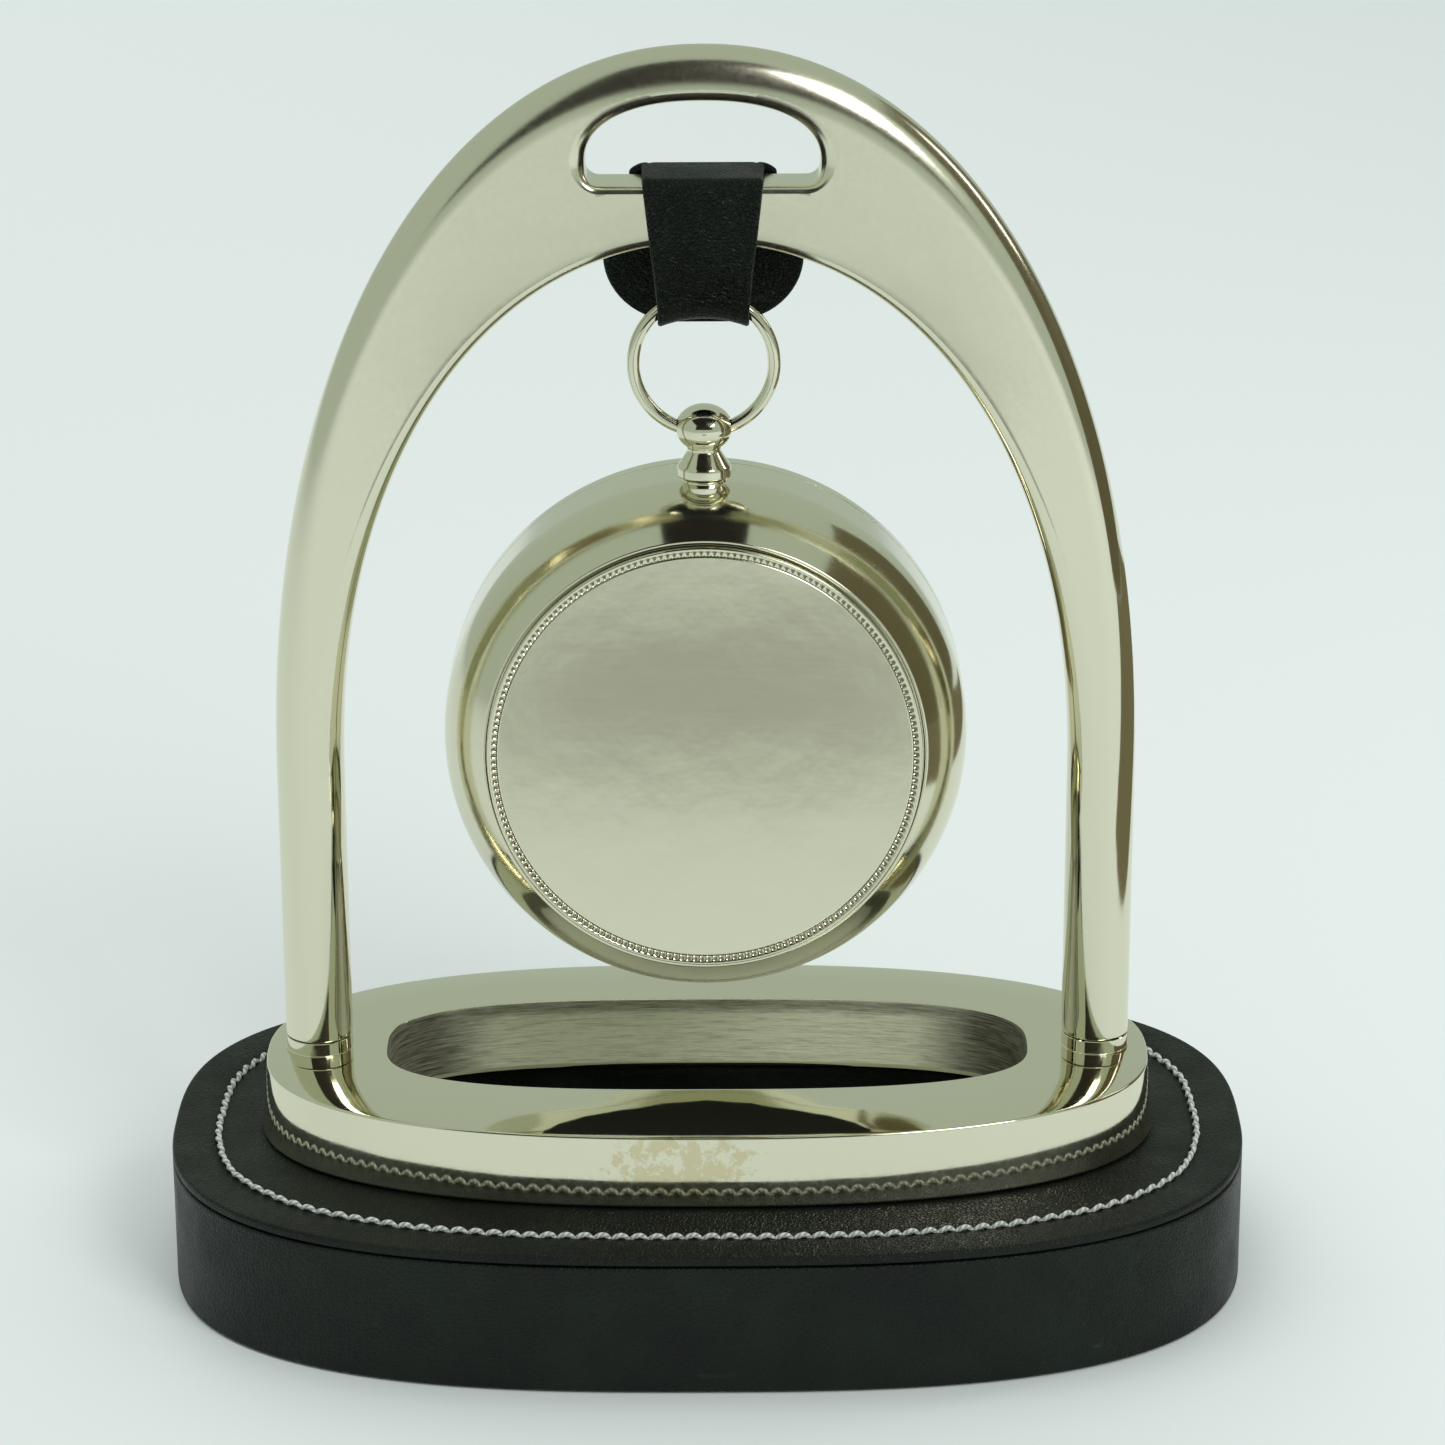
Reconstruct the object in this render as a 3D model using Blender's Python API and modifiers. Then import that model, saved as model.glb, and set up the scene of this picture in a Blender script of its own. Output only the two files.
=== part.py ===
"""Table clock: a drum clock hung on a leather strap inside a stirrup, which stands on an oval leather base.

Metres, +Z up. The origin is under the middle of the base, on the table. The dial faces -Y.
The drum and its works are modelled about their own axis: x right, y up and z towards the dial.
"""
import math

import bmesh
import bpy
import numpy as np

# Clearances
GAP = 0.0003
OVERRUN = 0.002
WELD = 0.000004

# Base: its length and depth come from the tread and the border round it
BASE_BORDER_X = 0.015
BASE_BORDER_Y = 0.018
BASE_HEIGHT = 0.0245
BASE_ROUNDNESS = 2.75
SIDE_LEATHER = 0.0012
TOP_LEATHER = 0.0016
TOP_EDGE = 0.0007
PAD_THICKNESS = 0.0012
STITCH_INSET = 0.0078
THREAD_RADIUS = 0.0004

# Tread: the oval foot plate of the stirrup, with its slot and a boss under each leg
TREAD_BEYOND_LEG = 0.0044
TREAD_DEPTH = 0.075
TREAD_THICKNESS = 0.013
TREAD_ROUNDNESS = 2.43
TREAD_EDGE = 0.0012
SLOT_TO_LEG = 0.006
SLOT_DEPTH = 0.0372
SLOT_ROUNDNESS = 2.92
BOSS_HEIGHT = 0.0022
BOSS_FLARE = 0.0028
BOSS_ROOT = 0.001

# Arch
LEG_DIAMETER = 0.0113
LEG_SPAN = 0.1206
CROWN_BAND = 0.0074
CROWN_THICKNESS = 0.010
CROWN_EDGE = 0.0032
CROWN_BLEND = 1.5
LEG_SHARES = (0.0, 0.5)
SPRING_HEIGHT = 0.050
ARCH_ROUNDNESS = 2.12
EYE_WIDTH = 0.041
EYE_HEIGHT = 0.0146
EYE_SHOULDER = 0.0036
EYE_CORNER = 0.0026
EYE_ROUNDNESS = 2.3
WEB_HEIGHT = 0.0095

# Screws that hold the base, the tread and the arch together
SCREW_RADIUS = 0.0025
SCREW_HEAD_RADIUS = 0.0045
SCREW_HEAD = 0.003
SCREW_CHAMFER = 0.0007
SCREW_IN_LEG = 0.020
WASHER_RADIUS = 0.0056
WASHER_THICKNESS = 0.0012
HEAD_DEPTH = 0.0035

# Ring
RING_RADIUS = 0.01145
WIRE_RADIUS = 0.00105

# Strap
STRAP_THICKNESS = 0.0013
STRAP_WIDTH_BAR = 0.0206
STRAP_WIDTH_BACK = 0.0248
STRAP_WIDTH_FOLD = 0.0150
TONGUE_WIDTH = 0.0326
TONGUE_DROP = 0.0155
TONGUE_TIP_WIDTH = 0.009
TONGUE_ROUND = 0.0110
FOLD_ROOM = 0.0007
FOLD_DROP = 0.0015
FOLD_FLATTER = 0.0006
TUCK_RISE = 0.0031
TUCK_TO_SOCKET = 0.00055
TUCK_TO_WEB = 0.00085
STUD_CAP_RADIUS = 0.0052
STUD_CAP_HEIGHT = 0.0018
STUD_POST_RADIUS = 0.0014
STUD_SOCKET_RADIUS = 0.0028
STUD_SOCKET_HEIGHT = 0.0009
SOCKET_TO_WEB = 0.0011
STUD_CAP_SHARES = ((0.6, 0.85), (0.9, 0.5))
TONGUE_TIP_SHARES = (0.0, 0.06, 0.2, 0.42, 0.7, 1.0)
TONGUE_NECK_SHARES = (0.35, 0.7, 1.0)
SLANT_SHARES = (0.25, 0.5, 0.75, 1.0)
TUCK_SHARES = (0.3, 0.6, 1.0)

# Pendant, measured from the middle of its ball
BALL_RADIUS = 0.0047
BALL_HALF_HEIGHT = 0.0039
BALL_ABOVE_WIRE = 0.0006
HOLE_CLEARANCE = 0.0005
NECK_RADIUS = 0.0027
NECK_DROP = 0.0036
SKIRT_RADIUS = 0.0045
SKIRT_DROP = 0.0065
SKIRT_RIM = 0.0016
SKIRT_REACH_SHARE = 0.35
SKIRT_FALL_SHARE = 0.45
COLLAR_HEIGHT = 0.0011263
COLLAR_RADIUS = 0.0037
COLLAR_FOOT_RADIUS = 0.0032
COLLAR_FOOT = 0.0005
COLLAR_SUNK = 0.0012
STEM_RADIUS = 0.0015

# Drum: its radius and its depth come from the movement that it holds
HANG_ANGLE = 3.6
DRUM_CLEARANCE = 0.01337
DRUM_MARGIN = 0.0059
DRUM_DRAWN_IN = 0.00693
DRUM_FRONT = 0.014
WIDEST_TO_FRONT = 0.011
DRUM_WALL = 0.0012
KNOB_TO_COVER = 0.0012
RIM_WALL = 0.0005
COVER_RECESS = 0.001
COVER_SEAT_WIDTH = 0.0019
COVER_SEAT = 0.0009
COVER_THICKNESS = 0.0012
COVER_PROUD = 0.0012
COVER_BORDER = 0.0010
COVER_GROOVE = 0.00025
COVER_GROOVE_WIDTH = 0.0008
COVER_SKIRT_WALL = 0.0009
DIAL_SEAT = 0.0008
DIAL_SEAT_WIDTH = 0.0030

# Dial, bezel and lens
DIAL_THICKNESS = 0.0008
DIAL_PLAY = 0.001
RING_HEIGHT = 0.0046
RING_WIDTH = 0.0022
RING_SLOPE = 0.0014
BEZEL_WALL = 0.00065
BEZEL_SKIRT = 0.0023
BEZEL_LIP = 0.0018
BEZEL_LIP_THICKNESS = 0.0015
BEZEL_ROUND = 0.0012
LENS_THICKNESS = 0.0013
LENS_PLAY = 0.0007
LENS_DOME = 0.0026
DOME_SHARES = (0.0, 0.4, 0.75, 1.0)

# Hands
HAND_THICKNESS = 0.0004
HAND_SPACING = 0.0009
HOUR_TO_RING = 0.0172
MINUTE_TO_RING = 0.0082
SECOND_TO_RING = 0.0062
SECOND_TAIL = 0.0095
HAND_WIDTH = 0.0030
SECOND_WIDTH = 0.0008
BLADE_BROAD_SHARE = 1.5
BLADE_SHOULDER_SHARE = 0.62
HOURS, MINUTES, SECONDS = 10, 9, 36
HUB_WALL = 0.0018
HAND_NUT_WALL = 0.0009
HAND_NUT_HEIGHT = 0.0006

# Arbors, from the middle outwards
SECOND_ARBOR = 0.0009
TUBE_WALL = 0.00065
BUSH_WALL = 0.0009
BUSH_NUT_WALL = 0.0024
BUSH_NUT_HEIGHT = 0.0016

# Movement
CASE_WALL = 0.0014
CASE_CORNER = 0.0050
BAY_ROOM = 0.00185
CONTACT_ROOM = 0.0021
WORKS_ROOM = 0.0050
BATTERY_INSIDE = 0.0006
BATTERY_RADIUS = 0.0071
BATTERY_LENGTH = 0.0490
BATTERY_NUB = 0.0026
BATTERY_NUB_LENGTH = 0.0012
BATTERY_CHAMFER = 0.0006
CONTACT_THICKNESS = 0.0004
CONTACT_WIDTH = 0.010
CASE_BACK_THICKNESS = 0.0012
WHEEL_THICKNESS = 0.0010
TOOTH = 0.0005
SECOND_WHEEL = 0.0055
MINUTE_WHEEL = 0.0070
HOUR_WHEEL = 0.0070
CANNON_PINION = 0.0029
MOTION_PINION = 0.0027
THIRD_PINION = 0.0015
THIRD_SHAFT = 0.0006
ROTOR_PINION = 0.0010
ROTOR_MAGNET = 0.0030
KNOB_PINION = 0.0036
KNOB_SHAFT = 0.0012
KNOB_RADIUS = 0.0060
KNOB_HEIGHT = 0.0016
MOTION_TURN = 30.5
THIRD_TURN = 165
ROTOR_TURN = 60
KNOB_TURN = -8.3
SECOND_TEETH = 24
MINUTE_TEETH = 30
CANNON_TEETH = 12
HOUR_TEETH = 24
MOTION_TEETH = 24
MOTION_PINION_TEETH = 10
THIRD_TEETH = 16
THIRD_PINION_TEETH = 6
KNOB_TEETH = 12
GRIP_TEETH = 24
STATOR_THICKNESS = 0.0010
STATOR_TO_BACK = 0.0020
STATOR_WIDTH = 0.021
STATOR_HEIGHT = 0.0198
COIL_RADIUS = 0.0032
COIL_LENGTH = 0.0160
COIL_TO_BACK = 0.0008
CORE_RADIUS = 0.0011
BOARD_WIDTH = 0.0080
BOARD_THICKNESS = 0.0010

# Radii of the arbors
MINUTE_BORE = SECOND_ARBOR + GAP
MINUTE_TUBE = MINUTE_BORE + TUBE_WALL
HOUR_BORE = MINUTE_TUBE + GAP
HOUR_TUBE = HOUR_BORE + TUBE_WALL
BUSH_BORE = HOUR_TUBE + GAP
BUSH_RADIUS = BUSH_BORE + BUSH_WALL

# The movement case about the arbors: the works above, the battery's bay below
STATOR_LOW = 2 * SECOND_ARBOR
STATOR_HIGH = STATOR_LOW + STATOR_HEIGHT
WHEEL_REACH = max(SECOND_WHEEL, MINUTE_WHEEL, HOUR_WHEEL)
CASE_SIDE = BATTERY_LENGTH / 2 + CONTACT_ROOM + CASE_WALL
CASE_TOP = STATOR_HIGH + WORKS_ROOM + CASE_WALL
WORKS_LOW = -(WHEEL_REACH + GAP)
BAY_TOP = WORKS_LOW - CASE_WALL
BAY_LOW = BAY_TOP - 2 * (BATTERY_RADIUS + BAY_ROOM)
CASE_LOW = BAY_LOW - CASE_WALL
CORNER_REACH = CASE_CORNER + math.hypot(CASE_SIDE - CASE_CORNER, max(CASE_TOP, -CASE_LOW) - CASE_CORNER)

# Places along the drum's axis, towards the dial
SEAT_FACE = DRUM_FRONT - RING_HEIGHT - DIAL_THICKNESS - GAP
DIAL_BACK = SEAT_FACE + GAP
DIAL_FACE = DIAL_BACK + DIAL_THICKNESS
RING_BACK = DIAL_FACE + GAP
RING_FACE = RING_BACK + RING_HEIGHT
LENS_BACK = RING_FACE + GAP
BEZEL_BACK = DRUM_FRONT + GAP
LIP_BACK = LENS_BACK + LENS_THICKNESS + LENS_PLAY
BEZEL_FACE = LIP_BACK + BEZEL_LIP_THICKNESS
CASE_FACE = DIAL_BACK - GAP
BUSH_FACE = DIAL_FACE + GAP + BUSH_NUT_HEIGHT
HOUR_Z = BUSH_FACE + GAP
MINUTE_Z = HOUR_Z + HAND_SPACING
HAND_NUT_Z = MINUTE_Z + HAND_THICKNESS + GAP
SECOND_Z = HAND_NUT_Z + HAND_NUT_HEIGHT + GAP
HOUR_WHEEL_Z = CASE_FACE - CASE_WALL - GAP - 3 * WHEEL_THICKNESS
CANNON_Z = HOUR_WHEEL_Z - GAP - WHEEL_THICKNESS
MINUTE_WHEEL_Z = CANNON_Z - WHEEL_THICKNESS - GAP
SECOND_WHEEL_Z = MINUTE_WHEEL_Z - 3 * WHEEL_THICKNESS
STATOR_Z = SECOND_WHEEL_Z - 2 * WHEEL_THICKNESS - STATOR_THICKNESS
WORKS_DEPTH = CASE_FACE - STATOR_Z + STATOR_TO_BACK + CASE_BACK_THICKNESS
BATTERY_DEPTH = CASE_WALL + GAP + 2 * BATTERY_RADIUS + BATTERY_INSIDE
CASE_BACK = CASE_FACE - max(WORKS_DEPTH, BATTERY_DEPTH)
CASE_BACK_FACE = CASE_BACK + CASE_BACK_THICKNESS
KNOB_FACE = CASE_BACK - GAP
DRUM_BACK = KNOB_FACE - KNOB_HEIGHT - KNOB_TO_COVER - COVER_THICKNESS + COVER_PROUD
DRUM_WIDEST = DRUM_FRONT - WIDEST_TO_FRONT

# Radii of the drum
DRUM_RADIUS = CORNER_REACH + DRUM_MARGIN
RIM_RADIUS = DRUM_RADIUS - DRUM_DRAWN_IN
DIAL_RADIUS = DRUM_RADIUS - DRUM_WALL - DIAL_PLAY
DIAL_HOLE = BUSH_RADIUS + GAP


def barrel(place_on_axis, clearance=0.0):
    """The drum's outer radius at a place along its axis: straight at the dial, drawn in at the back."""
    share = min(place_on_axis - DRUM_WIDEST, 0) / (DRUM_BACK - DRUM_WIDEST)
    return DRUM_RADIUS - DRUM_DRAWN_IN * share ** 2 + clearance


DRUM_BORE = barrel(DRUM_FRONT) - DRUM_WALL
BEZEL_BORE = DRUM_BORE - GAP - BEZEL_WALL
LENS_EDGE = BEZEL_BORE - GAP
RING_OUTER = LENS_EDGE - GAP
RING_INNER = RING_OUTER - RING_WIDTH

# Heights above the table
PAD_TOP = PAD_THICKNESS
BLOCK_BOTTOM = PAD_TOP + GAP
TREAD_BOTTOM = BASE_HEIGHT + GAP
TREAD_TOP = TREAD_BOTTOM + TREAD_THICKNESS
BOSS_TOP = TREAD_TOP + BOSS_HEIGHT
LEG_BOTTOM = BOSS_TOP + GAP
SPRING_Z = TREAD_TOP + SPRING_HEIGHT
PENDANT_LENGTH = SKIRT_DROP + SKIRT_RIM - BALL_ABOVE_WIRE + GAP + COLLAR_HEIGHT
HANG_DROP = barrel(0) + PENDANT_LENGTH
PIVOT_Z = TREAD_TOP + DRUM_CLEARANCE + DRUM_RADIUS + HANG_DROP
RING_Z = PIVOT_Z + RING_RADIUS
WIRE_TOP_Z = RING_Z + RING_RADIUS
FOLD_RADIUS = WIRE_RADIUS + FOLD_ROOM + STRAP_THICKNESS / 2
FOLD_Z = WIRE_TOP_Z - WIRE_RADIUS - FOLD_DROP - STRAP_THICKNESS / 2 + FOLD_RADIUS
STUD_Z = FOLD_Z + TUCK_RISE + TUCK_TO_SOCKET + STUD_SOCKET_RADIUS
WEB_BOTTOM = STUD_Z + STUD_SOCKET_RADIUS + SOCKET_TO_WEB
TUCK_TOP = WEB_BOTTOM - TUCK_TO_WEB
WEB_TOP = WEB_BOTTOM + WEB_HEIGHT
EYE_TOP = WEB_TOP + EYE_HEIGHT
CROWN_TOP = EYE_TOP + CROWN_BAND

# Across the stirrup and the base
LEG_X = (LEG_SPAN + LEG_DIAMETER) / 2
TREAD_LENGTH = LEG_SPAN + 2 * (LEG_DIAMETER + TREAD_BEYOND_LEG)
SLOT_LENGTH = LEG_SPAN - 2 * SLOT_TO_LEG
BASE_LENGTH = TREAD_LENGTH + 2 * BASE_BORDER_X
BASE_DEPTH = TREAD_DEPTH + 2 * BASE_BORDER_Y
STRAP_FACE = CROWN_THICKNESS / 2 + GAP + STRAP_THICKNESS / 2
RING_FALL = RING_RADIUS - math.sqrt(RING_RADIUS ** 2 - (STRAP_WIDTH_FOLD / 2) ** 2)
FOLD_SAG = RING_FALL - FOLD_FLATTER

CIRCLE = 2 * math.pi
OFF_AXIS = math.radians(8)
OVAL_POINTS = 56
STITCH_POINTS = 80
SLOT_POINTS = 40
DRUM_STEPS = 40
LEG_STEPS = 24
SMALL_STEPS = 16
ARBOR_STEPS = 12
HEXAGON = 6
BEVEL_ANGLE = 40
CLOCK_COLLECTION = "table_clock"
CUTTER_COLLECTION = "cutters"


def clear_scene():
    for item in list(bpy.data.objects):
        bpy.data.objects.remove(item, do_unlink=True)


def collection(name):
    """Return the collection with this name, linked to the scene."""
    found = bpy.data.collections.get(name)
    if found is None:
        found = bpy.data.collections.new(name)
        bpy.context.scene.collection.children.link(found)
    return found


def material(name, colour, roughness, metallic=0.0, alpha=1.0):
    found = bpy.data.materials.get(name)
    if found:
        return found
    made = bpy.data.materials.new(name)
    made.use_nodes = True
    shader = made.node_tree.nodes["Principled BSDF"]
    shader.inputs["Base Color"].default_value = (*colour, 1.0)
    shader.inputs["Roughness"].default_value = roughness
    shader.inputs["Metallic"].default_value = metallic
    shader.inputs["Alpha"].default_value = alpha
    made.diffuse_color = (*colour, alpha)
    return made


def nickel():
    return material("nickel", (0.62, 0.60, 0.52), 0.12, 1.0)


def satin_nickel():
    return material("satin_nickel", (0.60, 0.60, 0.52), 0.35, 1.0)


def leather():
    return material("leather", (0.012, 0.016, 0.015), 0.45)


def thread():
    return material("thread", (0.80, 0.80, 0.78), 0.8)


def wood():
    return material("wood", (0.45, 0.32, 0.20), 0.7)


def felt():
    return material("felt", (0.02, 0.03, 0.025), 0.95)


def steel():
    return material("steel", (0.50, 0.50, 0.50), 0.3, 1.0)


def brass():
    return material("brass", (0.70, 0.52, 0.22), 0.3, 1.0)


def copper():
    return material("copper", (0.62, 0.28, 0.14), 0.35, 1.0)


def case_plastic():
    return material("case_plastic", (0.03, 0.03, 0.03), 0.5)


def dial_white():
    return material("dial_white", (0.85, 0.84, 0.80), 0.5)


def hand_black():
    return material("hand_black", (0.01, 0.01, 0.01), 0.3)


def glass():
    return material("glass", (0.95, 0.97, 0.97), 0.02, alpha=0.3)


def place(obj, parent=None, home=CLOCK_COLLECTION):
    """Put an object in its collection and under its parent."""
    for user in list(obj.users_collection):
        user.objects.unlink(obj)
    collection(home).objects.link(obj)
    obj.parent = parent
    return obj


def as_cutter(obj):
    """Keep an object out of the model and use it only to cut or to join."""
    obj.hide_render = True
    obj.display_type = "WIRE"
    return place(obj, obj.parent, CUTTER_COLLECTION)


def empty(name, location, rotation, parent=None):
    made = bpy.data.objects.new(name, None)
    made.location = location
    made.rotation_euler = rotation
    return place(made, parent)


def mesh_object(name, mesh, finish, parent=None, location=(0, 0, 0), rotation=(0, 0, 0)):
    """An object with this mesh and this material, in its place."""
    obj = bpy.data.objects.new(name, mesh)
    obj.location = location
    obj.rotation_euler = rotation
    mesh.materials.clear()
    mesh.materials.append(finish)
    return place(obj, parent)


def boolean(obj, other, operation="DIFFERENCE"):
    cut = obj.modifiers.new(other.name, "BOOLEAN")
    cut.object = other
    cut.operation = operation
    as_cutter(other)
    return obj


def bevel(obj, width, segments=2):
    edge = obj.modifiers.new("edge", "BEVEL")
    edge.width = width
    edge.segments = segments
    edge.limit_method = "ANGLE"
    edge.angle_limit = math.radians(BEVEL_ANGLE)
    return obj


def oval(half_x, half_y, roundness, count):
    """Points of a superellipse: |x / half_x| ^ roundness + |y / half_y| ^ roundness = 1."""
    turn = np.linspace(0, CIRCLE, count, endpoint=False)
    c, s = np.cos(turn), np.sin(turn)
    reach = (np.abs(c) ** roundness + np.abs(s) ** roundness) ** (-1 / roundness)
    return list(zip(half_x * reach * c, half_y * reach * s))


def circle(radius, count, x=0.0, y=0.0):
    turn = np.linspace(0, CIRCLE, count, endpoint=False)
    return list(zip(x + radius * np.cos(turn), y + radius * np.sin(turn)))


def arc(x, y, radius, start, end, steps):
    """Points on an arc about (x, y), with its angles in degrees."""
    turn = np.radians(np.linspace(start, end, steps + 1))
    return list(zip(x + radius * np.cos(turn), y + radius * np.sin(turn)))


def rectangle(left, right, bottom, top, corner=0.0, steps=3):
    if not corner:
        return [(right, top), (left, top), (left, bottom), (right, bottom)]
    points = arc(right - corner, top - corner, corner, 0, 90, steps)
    points += arc(left + corner, top - corner, corner, 90, 180, steps)
    points += arc(left + corner, bottom + corner, corner, 180, 270, steps)
    return points + arc(right - corner, bottom + corner, corner, 270, 360, steps)


def toothed(radius, teeth):
    """A toothed outline whose tips lie on the radius."""
    turn = np.linspace(0, CIRCLE, 2 * teeth, endpoint=False)
    reach = np.where(np.arange(2 * teeth) % 2 == 0, radius, radius - TOOTH)
    return list(zip(reach * np.cos(turn), reach * np.sin(turn)))


def flat(name, outlines, low, high, finish, parent=None, x=0.0, y=0.0, turn=0.0):
    """A flat piece from z = low to z = high; later outlines inside the first are holes."""
    curve = bpy.data.curves.new(name, "CURVE")
    curve.dimensions = "2D"
    curve.fill_mode = "BOTH"
    curve.extrude = (high - low) / 2
    for outline in outlines:
        spline = curve.splines.new("POLY")
        spline.points.add(len(outline) - 1)
        for point, (px, py) in zip(spline.points, outline):
            point.co = (px, py, 0, 1)
        spline.use_cyclic_u = True
    guide = place(bpy.data.objects.new(name + "_curve", curve))
    graph = bpy.context.evaluated_depsgraph_get()
    mesh = bpy.data.meshes.new_from_object(guide.evaluated_get(graph))
    bpy.data.objects.remove(guide, do_unlink=True)
    sheet = bmesh.new()
    sheet.from_mesh(mesh)
    bmesh.ops.remove_doubles(sheet, verts=sheet.verts, dist=WELD)
    bmesh.ops.recalc_face_normals(sheet, faces=sheet.faces)
    sheet.to_mesh(mesh)
    sheet.free()
    mesh.name = name
    return mesh_object(name, mesh, finish, parent, (x, y, (low + high) / 2), (0, 0, turn))


def turned(name, profile, steps, finish, parent=None, closed=False, location=(0, 0, 0),
           rotation=(0, 0, 0)):
    """A profile of (radius, height) turned about Z; it runs down the outer side."""
    edges = [(i, i + 1) for i in range(len(profile) - 1)]
    if closed:
        edges.append((len(profile) - 1, 0))
    mesh = bpy.data.meshes.new(name)
    mesh.from_pydata([(radius, 0, height) for radius, height in profile], edges, [])
    obj = mesh_object(name, mesh, finish, parent, location, rotation)
    screw = obj.modifiers.new("turn", "SCREW")
    screw.axis = "Z"
    screw.angle = CIRCLE
    screw.steps = steps
    screw.render_steps = steps
    screw.use_merge_vertices = True
    screw.merge_threshold = WELD
    return obj


def rod(name, radius, low, high, steps, finish, parent=None, **where):
    profile = [(0, high), (radius, high), (radius, low), (0, low)]
    return turned(name, profile, steps, finish, parent, **where)


def tube(name, outer, inner, low, high, steps, finish, parent=None, **where):
    profile = [(outer, high), (outer, low), (inner, low), (inner, high)]
    return turned(name, profile, steps, finish, parent, closed=True, **where)


def mirrored(name, side):
    return name + ("_right" if side > 0 else "_left")


def around(distance, turn):
    """The place at a distance from the drum's axis, in a direction in degrees."""
    return distance * math.cos(math.radians(turn)), distance * math.sin(math.radians(turn))


def eased(share):
    """A share from 0 to 1 that starts and ends slowly."""
    return share * share * (3 - 2 * share)


def base():
    """Wooden core wrapped in leather: a side strip, a top panel with a stitched line, a pad below."""
    half_x, half_y = BASE_LENGTH / 2, BASE_DEPTH / 2

    def ring(inset, points=OVAL_POINTS):
        return oval(half_x - inset, half_y - inset, BASE_ROUNDNESS, points)

    strip_top = BASE_HEIGHT - TOP_LEATHER - GAP
    core_inset = SIDE_LEATHER + GAP
    screw_hole = SCREW_RADIUS + GAP
    washer_hole = WASHER_RADIUS + GAP
    counterbore_top = BLOCK_BOTTOM + HEAD_DEPTH + SCREW_HEAD + WASHER_THICKNESS + 2 * GAP
    block = flat("base_block", [ring(core_inset)], BLOCK_BOTTOM, strip_top, wood())
    cut_top, cut_low = strip_top + OVERRUN, BLOCK_BOTTOM - OVERRUN
    stepped = [(0, cut_top), (screw_hole, cut_top), (screw_hole, counterbore_top),
               (washer_hole, counterbore_top), (washer_hole, cut_low), (0, cut_low)]
    for side in (-1, 1):
        cutter = turned(mirrored("counterbore", side), stepped, SMALL_STEPS, wood(),
                        location=(side * LEG_X, 0, 0), rotation=(0, 0, OFF_AXIS))
        boolean(block, cutter)
    holes = [circle(screw_hole, ARBOR_STEPS, side * LEG_X) for side in (-1, 1)]
    flat("base_side_leather", [ring(0), ring(SIDE_LEATHER)], GAP, strip_top, leather())
    top = flat("base_top_leather", [ring(0)] + holes, BASE_HEIGHT - TOP_LEATHER, BASE_HEIGHT, leather())
    bevel(top, TOP_EDGE, 1)
    flat("base_pad", [ring(core_inset)], 0, PAD_TOP, felt())
    stitching(ring(STITCH_INSET, STITCH_POINTS))
    for side in (-1, 1):
        leg_screw(side, counterbore_top)


def stitching(points):
    """The stitched line: one thread that lies on the top leather all the way round."""
    curve = bpy.data.curves.new("base_stitching", "CURVE")
    curve.dimensions = "3D"
    curve.bevel_depth = THREAD_RADIUS
    curve.bevel_resolution = 0
    spline = curve.splines.new("POLY")
    spline.points.add(len(points) - 1)
    for point, (x, y) in zip(spline.points, points):
        point.co = (x, y, BASE_HEIGHT + GAP + THREAD_RADIUS, 1)
    spline.use_cyclic_u = True
    curve.materials.append(thread())
    place(bpy.data.objects.new("base_stitching", curve))


def leg_screw(side, seat):
    """A pan-head screw and its washer, in from below and up into the leg."""
    where = (side * LEG_X, 0, 0)
    washer_low = seat - GAP - WASHER_THICKNESS
    head_top = washer_low - GAP
    head_low = head_top - SCREW_HEAD
    tip = LEG_BOTTOM + SCREW_IN_LEG
    tube(mirrored("screw_washer", side), WASHER_RADIUS, SCREW_RADIUS + GAP, washer_low,
         washer_low + WASHER_THICKNESS, SMALL_STEPS, steel(), location=where)
    profile = [(0, tip), (SCREW_RADIUS - SCREW_CHAMFER, tip), (SCREW_RADIUS, tip - SCREW_CHAMFER),
               (SCREW_RADIUS, head_top), (SCREW_HEAD_RADIUS, head_top),
               (SCREW_HEAD_RADIUS, head_low + SCREW_CHAMFER), (SCREW_HEAD_RADIUS - SCREW_CHAMFER, head_low),
               (0, head_low)]
    turned(mirrored("leg_screw", side), profile, ARBOR_STEPS, steel(), location=where)


def tread():
    """Oval foot plate with a long slot; a low boss flares into it under each leg."""
    outline = oval(TREAD_LENGTH / 2, TREAD_DEPTH / 2, TREAD_ROUNDNESS, OVAL_POINTS)
    slot = oval(SLOT_LENGTH / 2, SLOT_DEPTH / 2, SLOT_ROUNDNESS, SLOT_POINTS)
    plate = flat("stirrup_tread", [outline, slot], TREAD_BOTTOM, TREAD_TOP, nickel())
    bevel(plate, TREAD_EDGE)
    leg = LEG_DIAMETER / 2
    flare_turn = math.degrees(math.asin(BOSS_HEIGHT / BOSS_FLARE))
    flare = arc(leg + BOSS_FLARE, BOSS_TOP, BOSS_FLARE, 180, 180 + flare_turn, 4)
    foot_radius = flare[-1][0]
    profile = [(0, BOSS_TOP)] + flare + [(foot_radius, TREAD_TOP - BOSS_ROOT), (0, TREAD_TOP - BOSS_ROOT)]
    for side in (-1, 1):
        boss = turned(mirrored("boss", side), profile, LEG_STEPS, nickel(), location=(side * LEG_X, 0, 0))
        boolean(plate, boss, "UNION")
    for side in (-1, 1):
        hole = rod(mirrored("tread_hole", side), SCREW_RADIUS + GAP, TREAD_BOTTOM - OVERRUN,
                   BOSS_TOP + OVERRUN, SMALL_STEPS, nickel(), location=(side * LEG_X, 0, 0),
                   rotation=(0, 0, OFF_AXIS))
        boolean(plate, hole)


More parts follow.
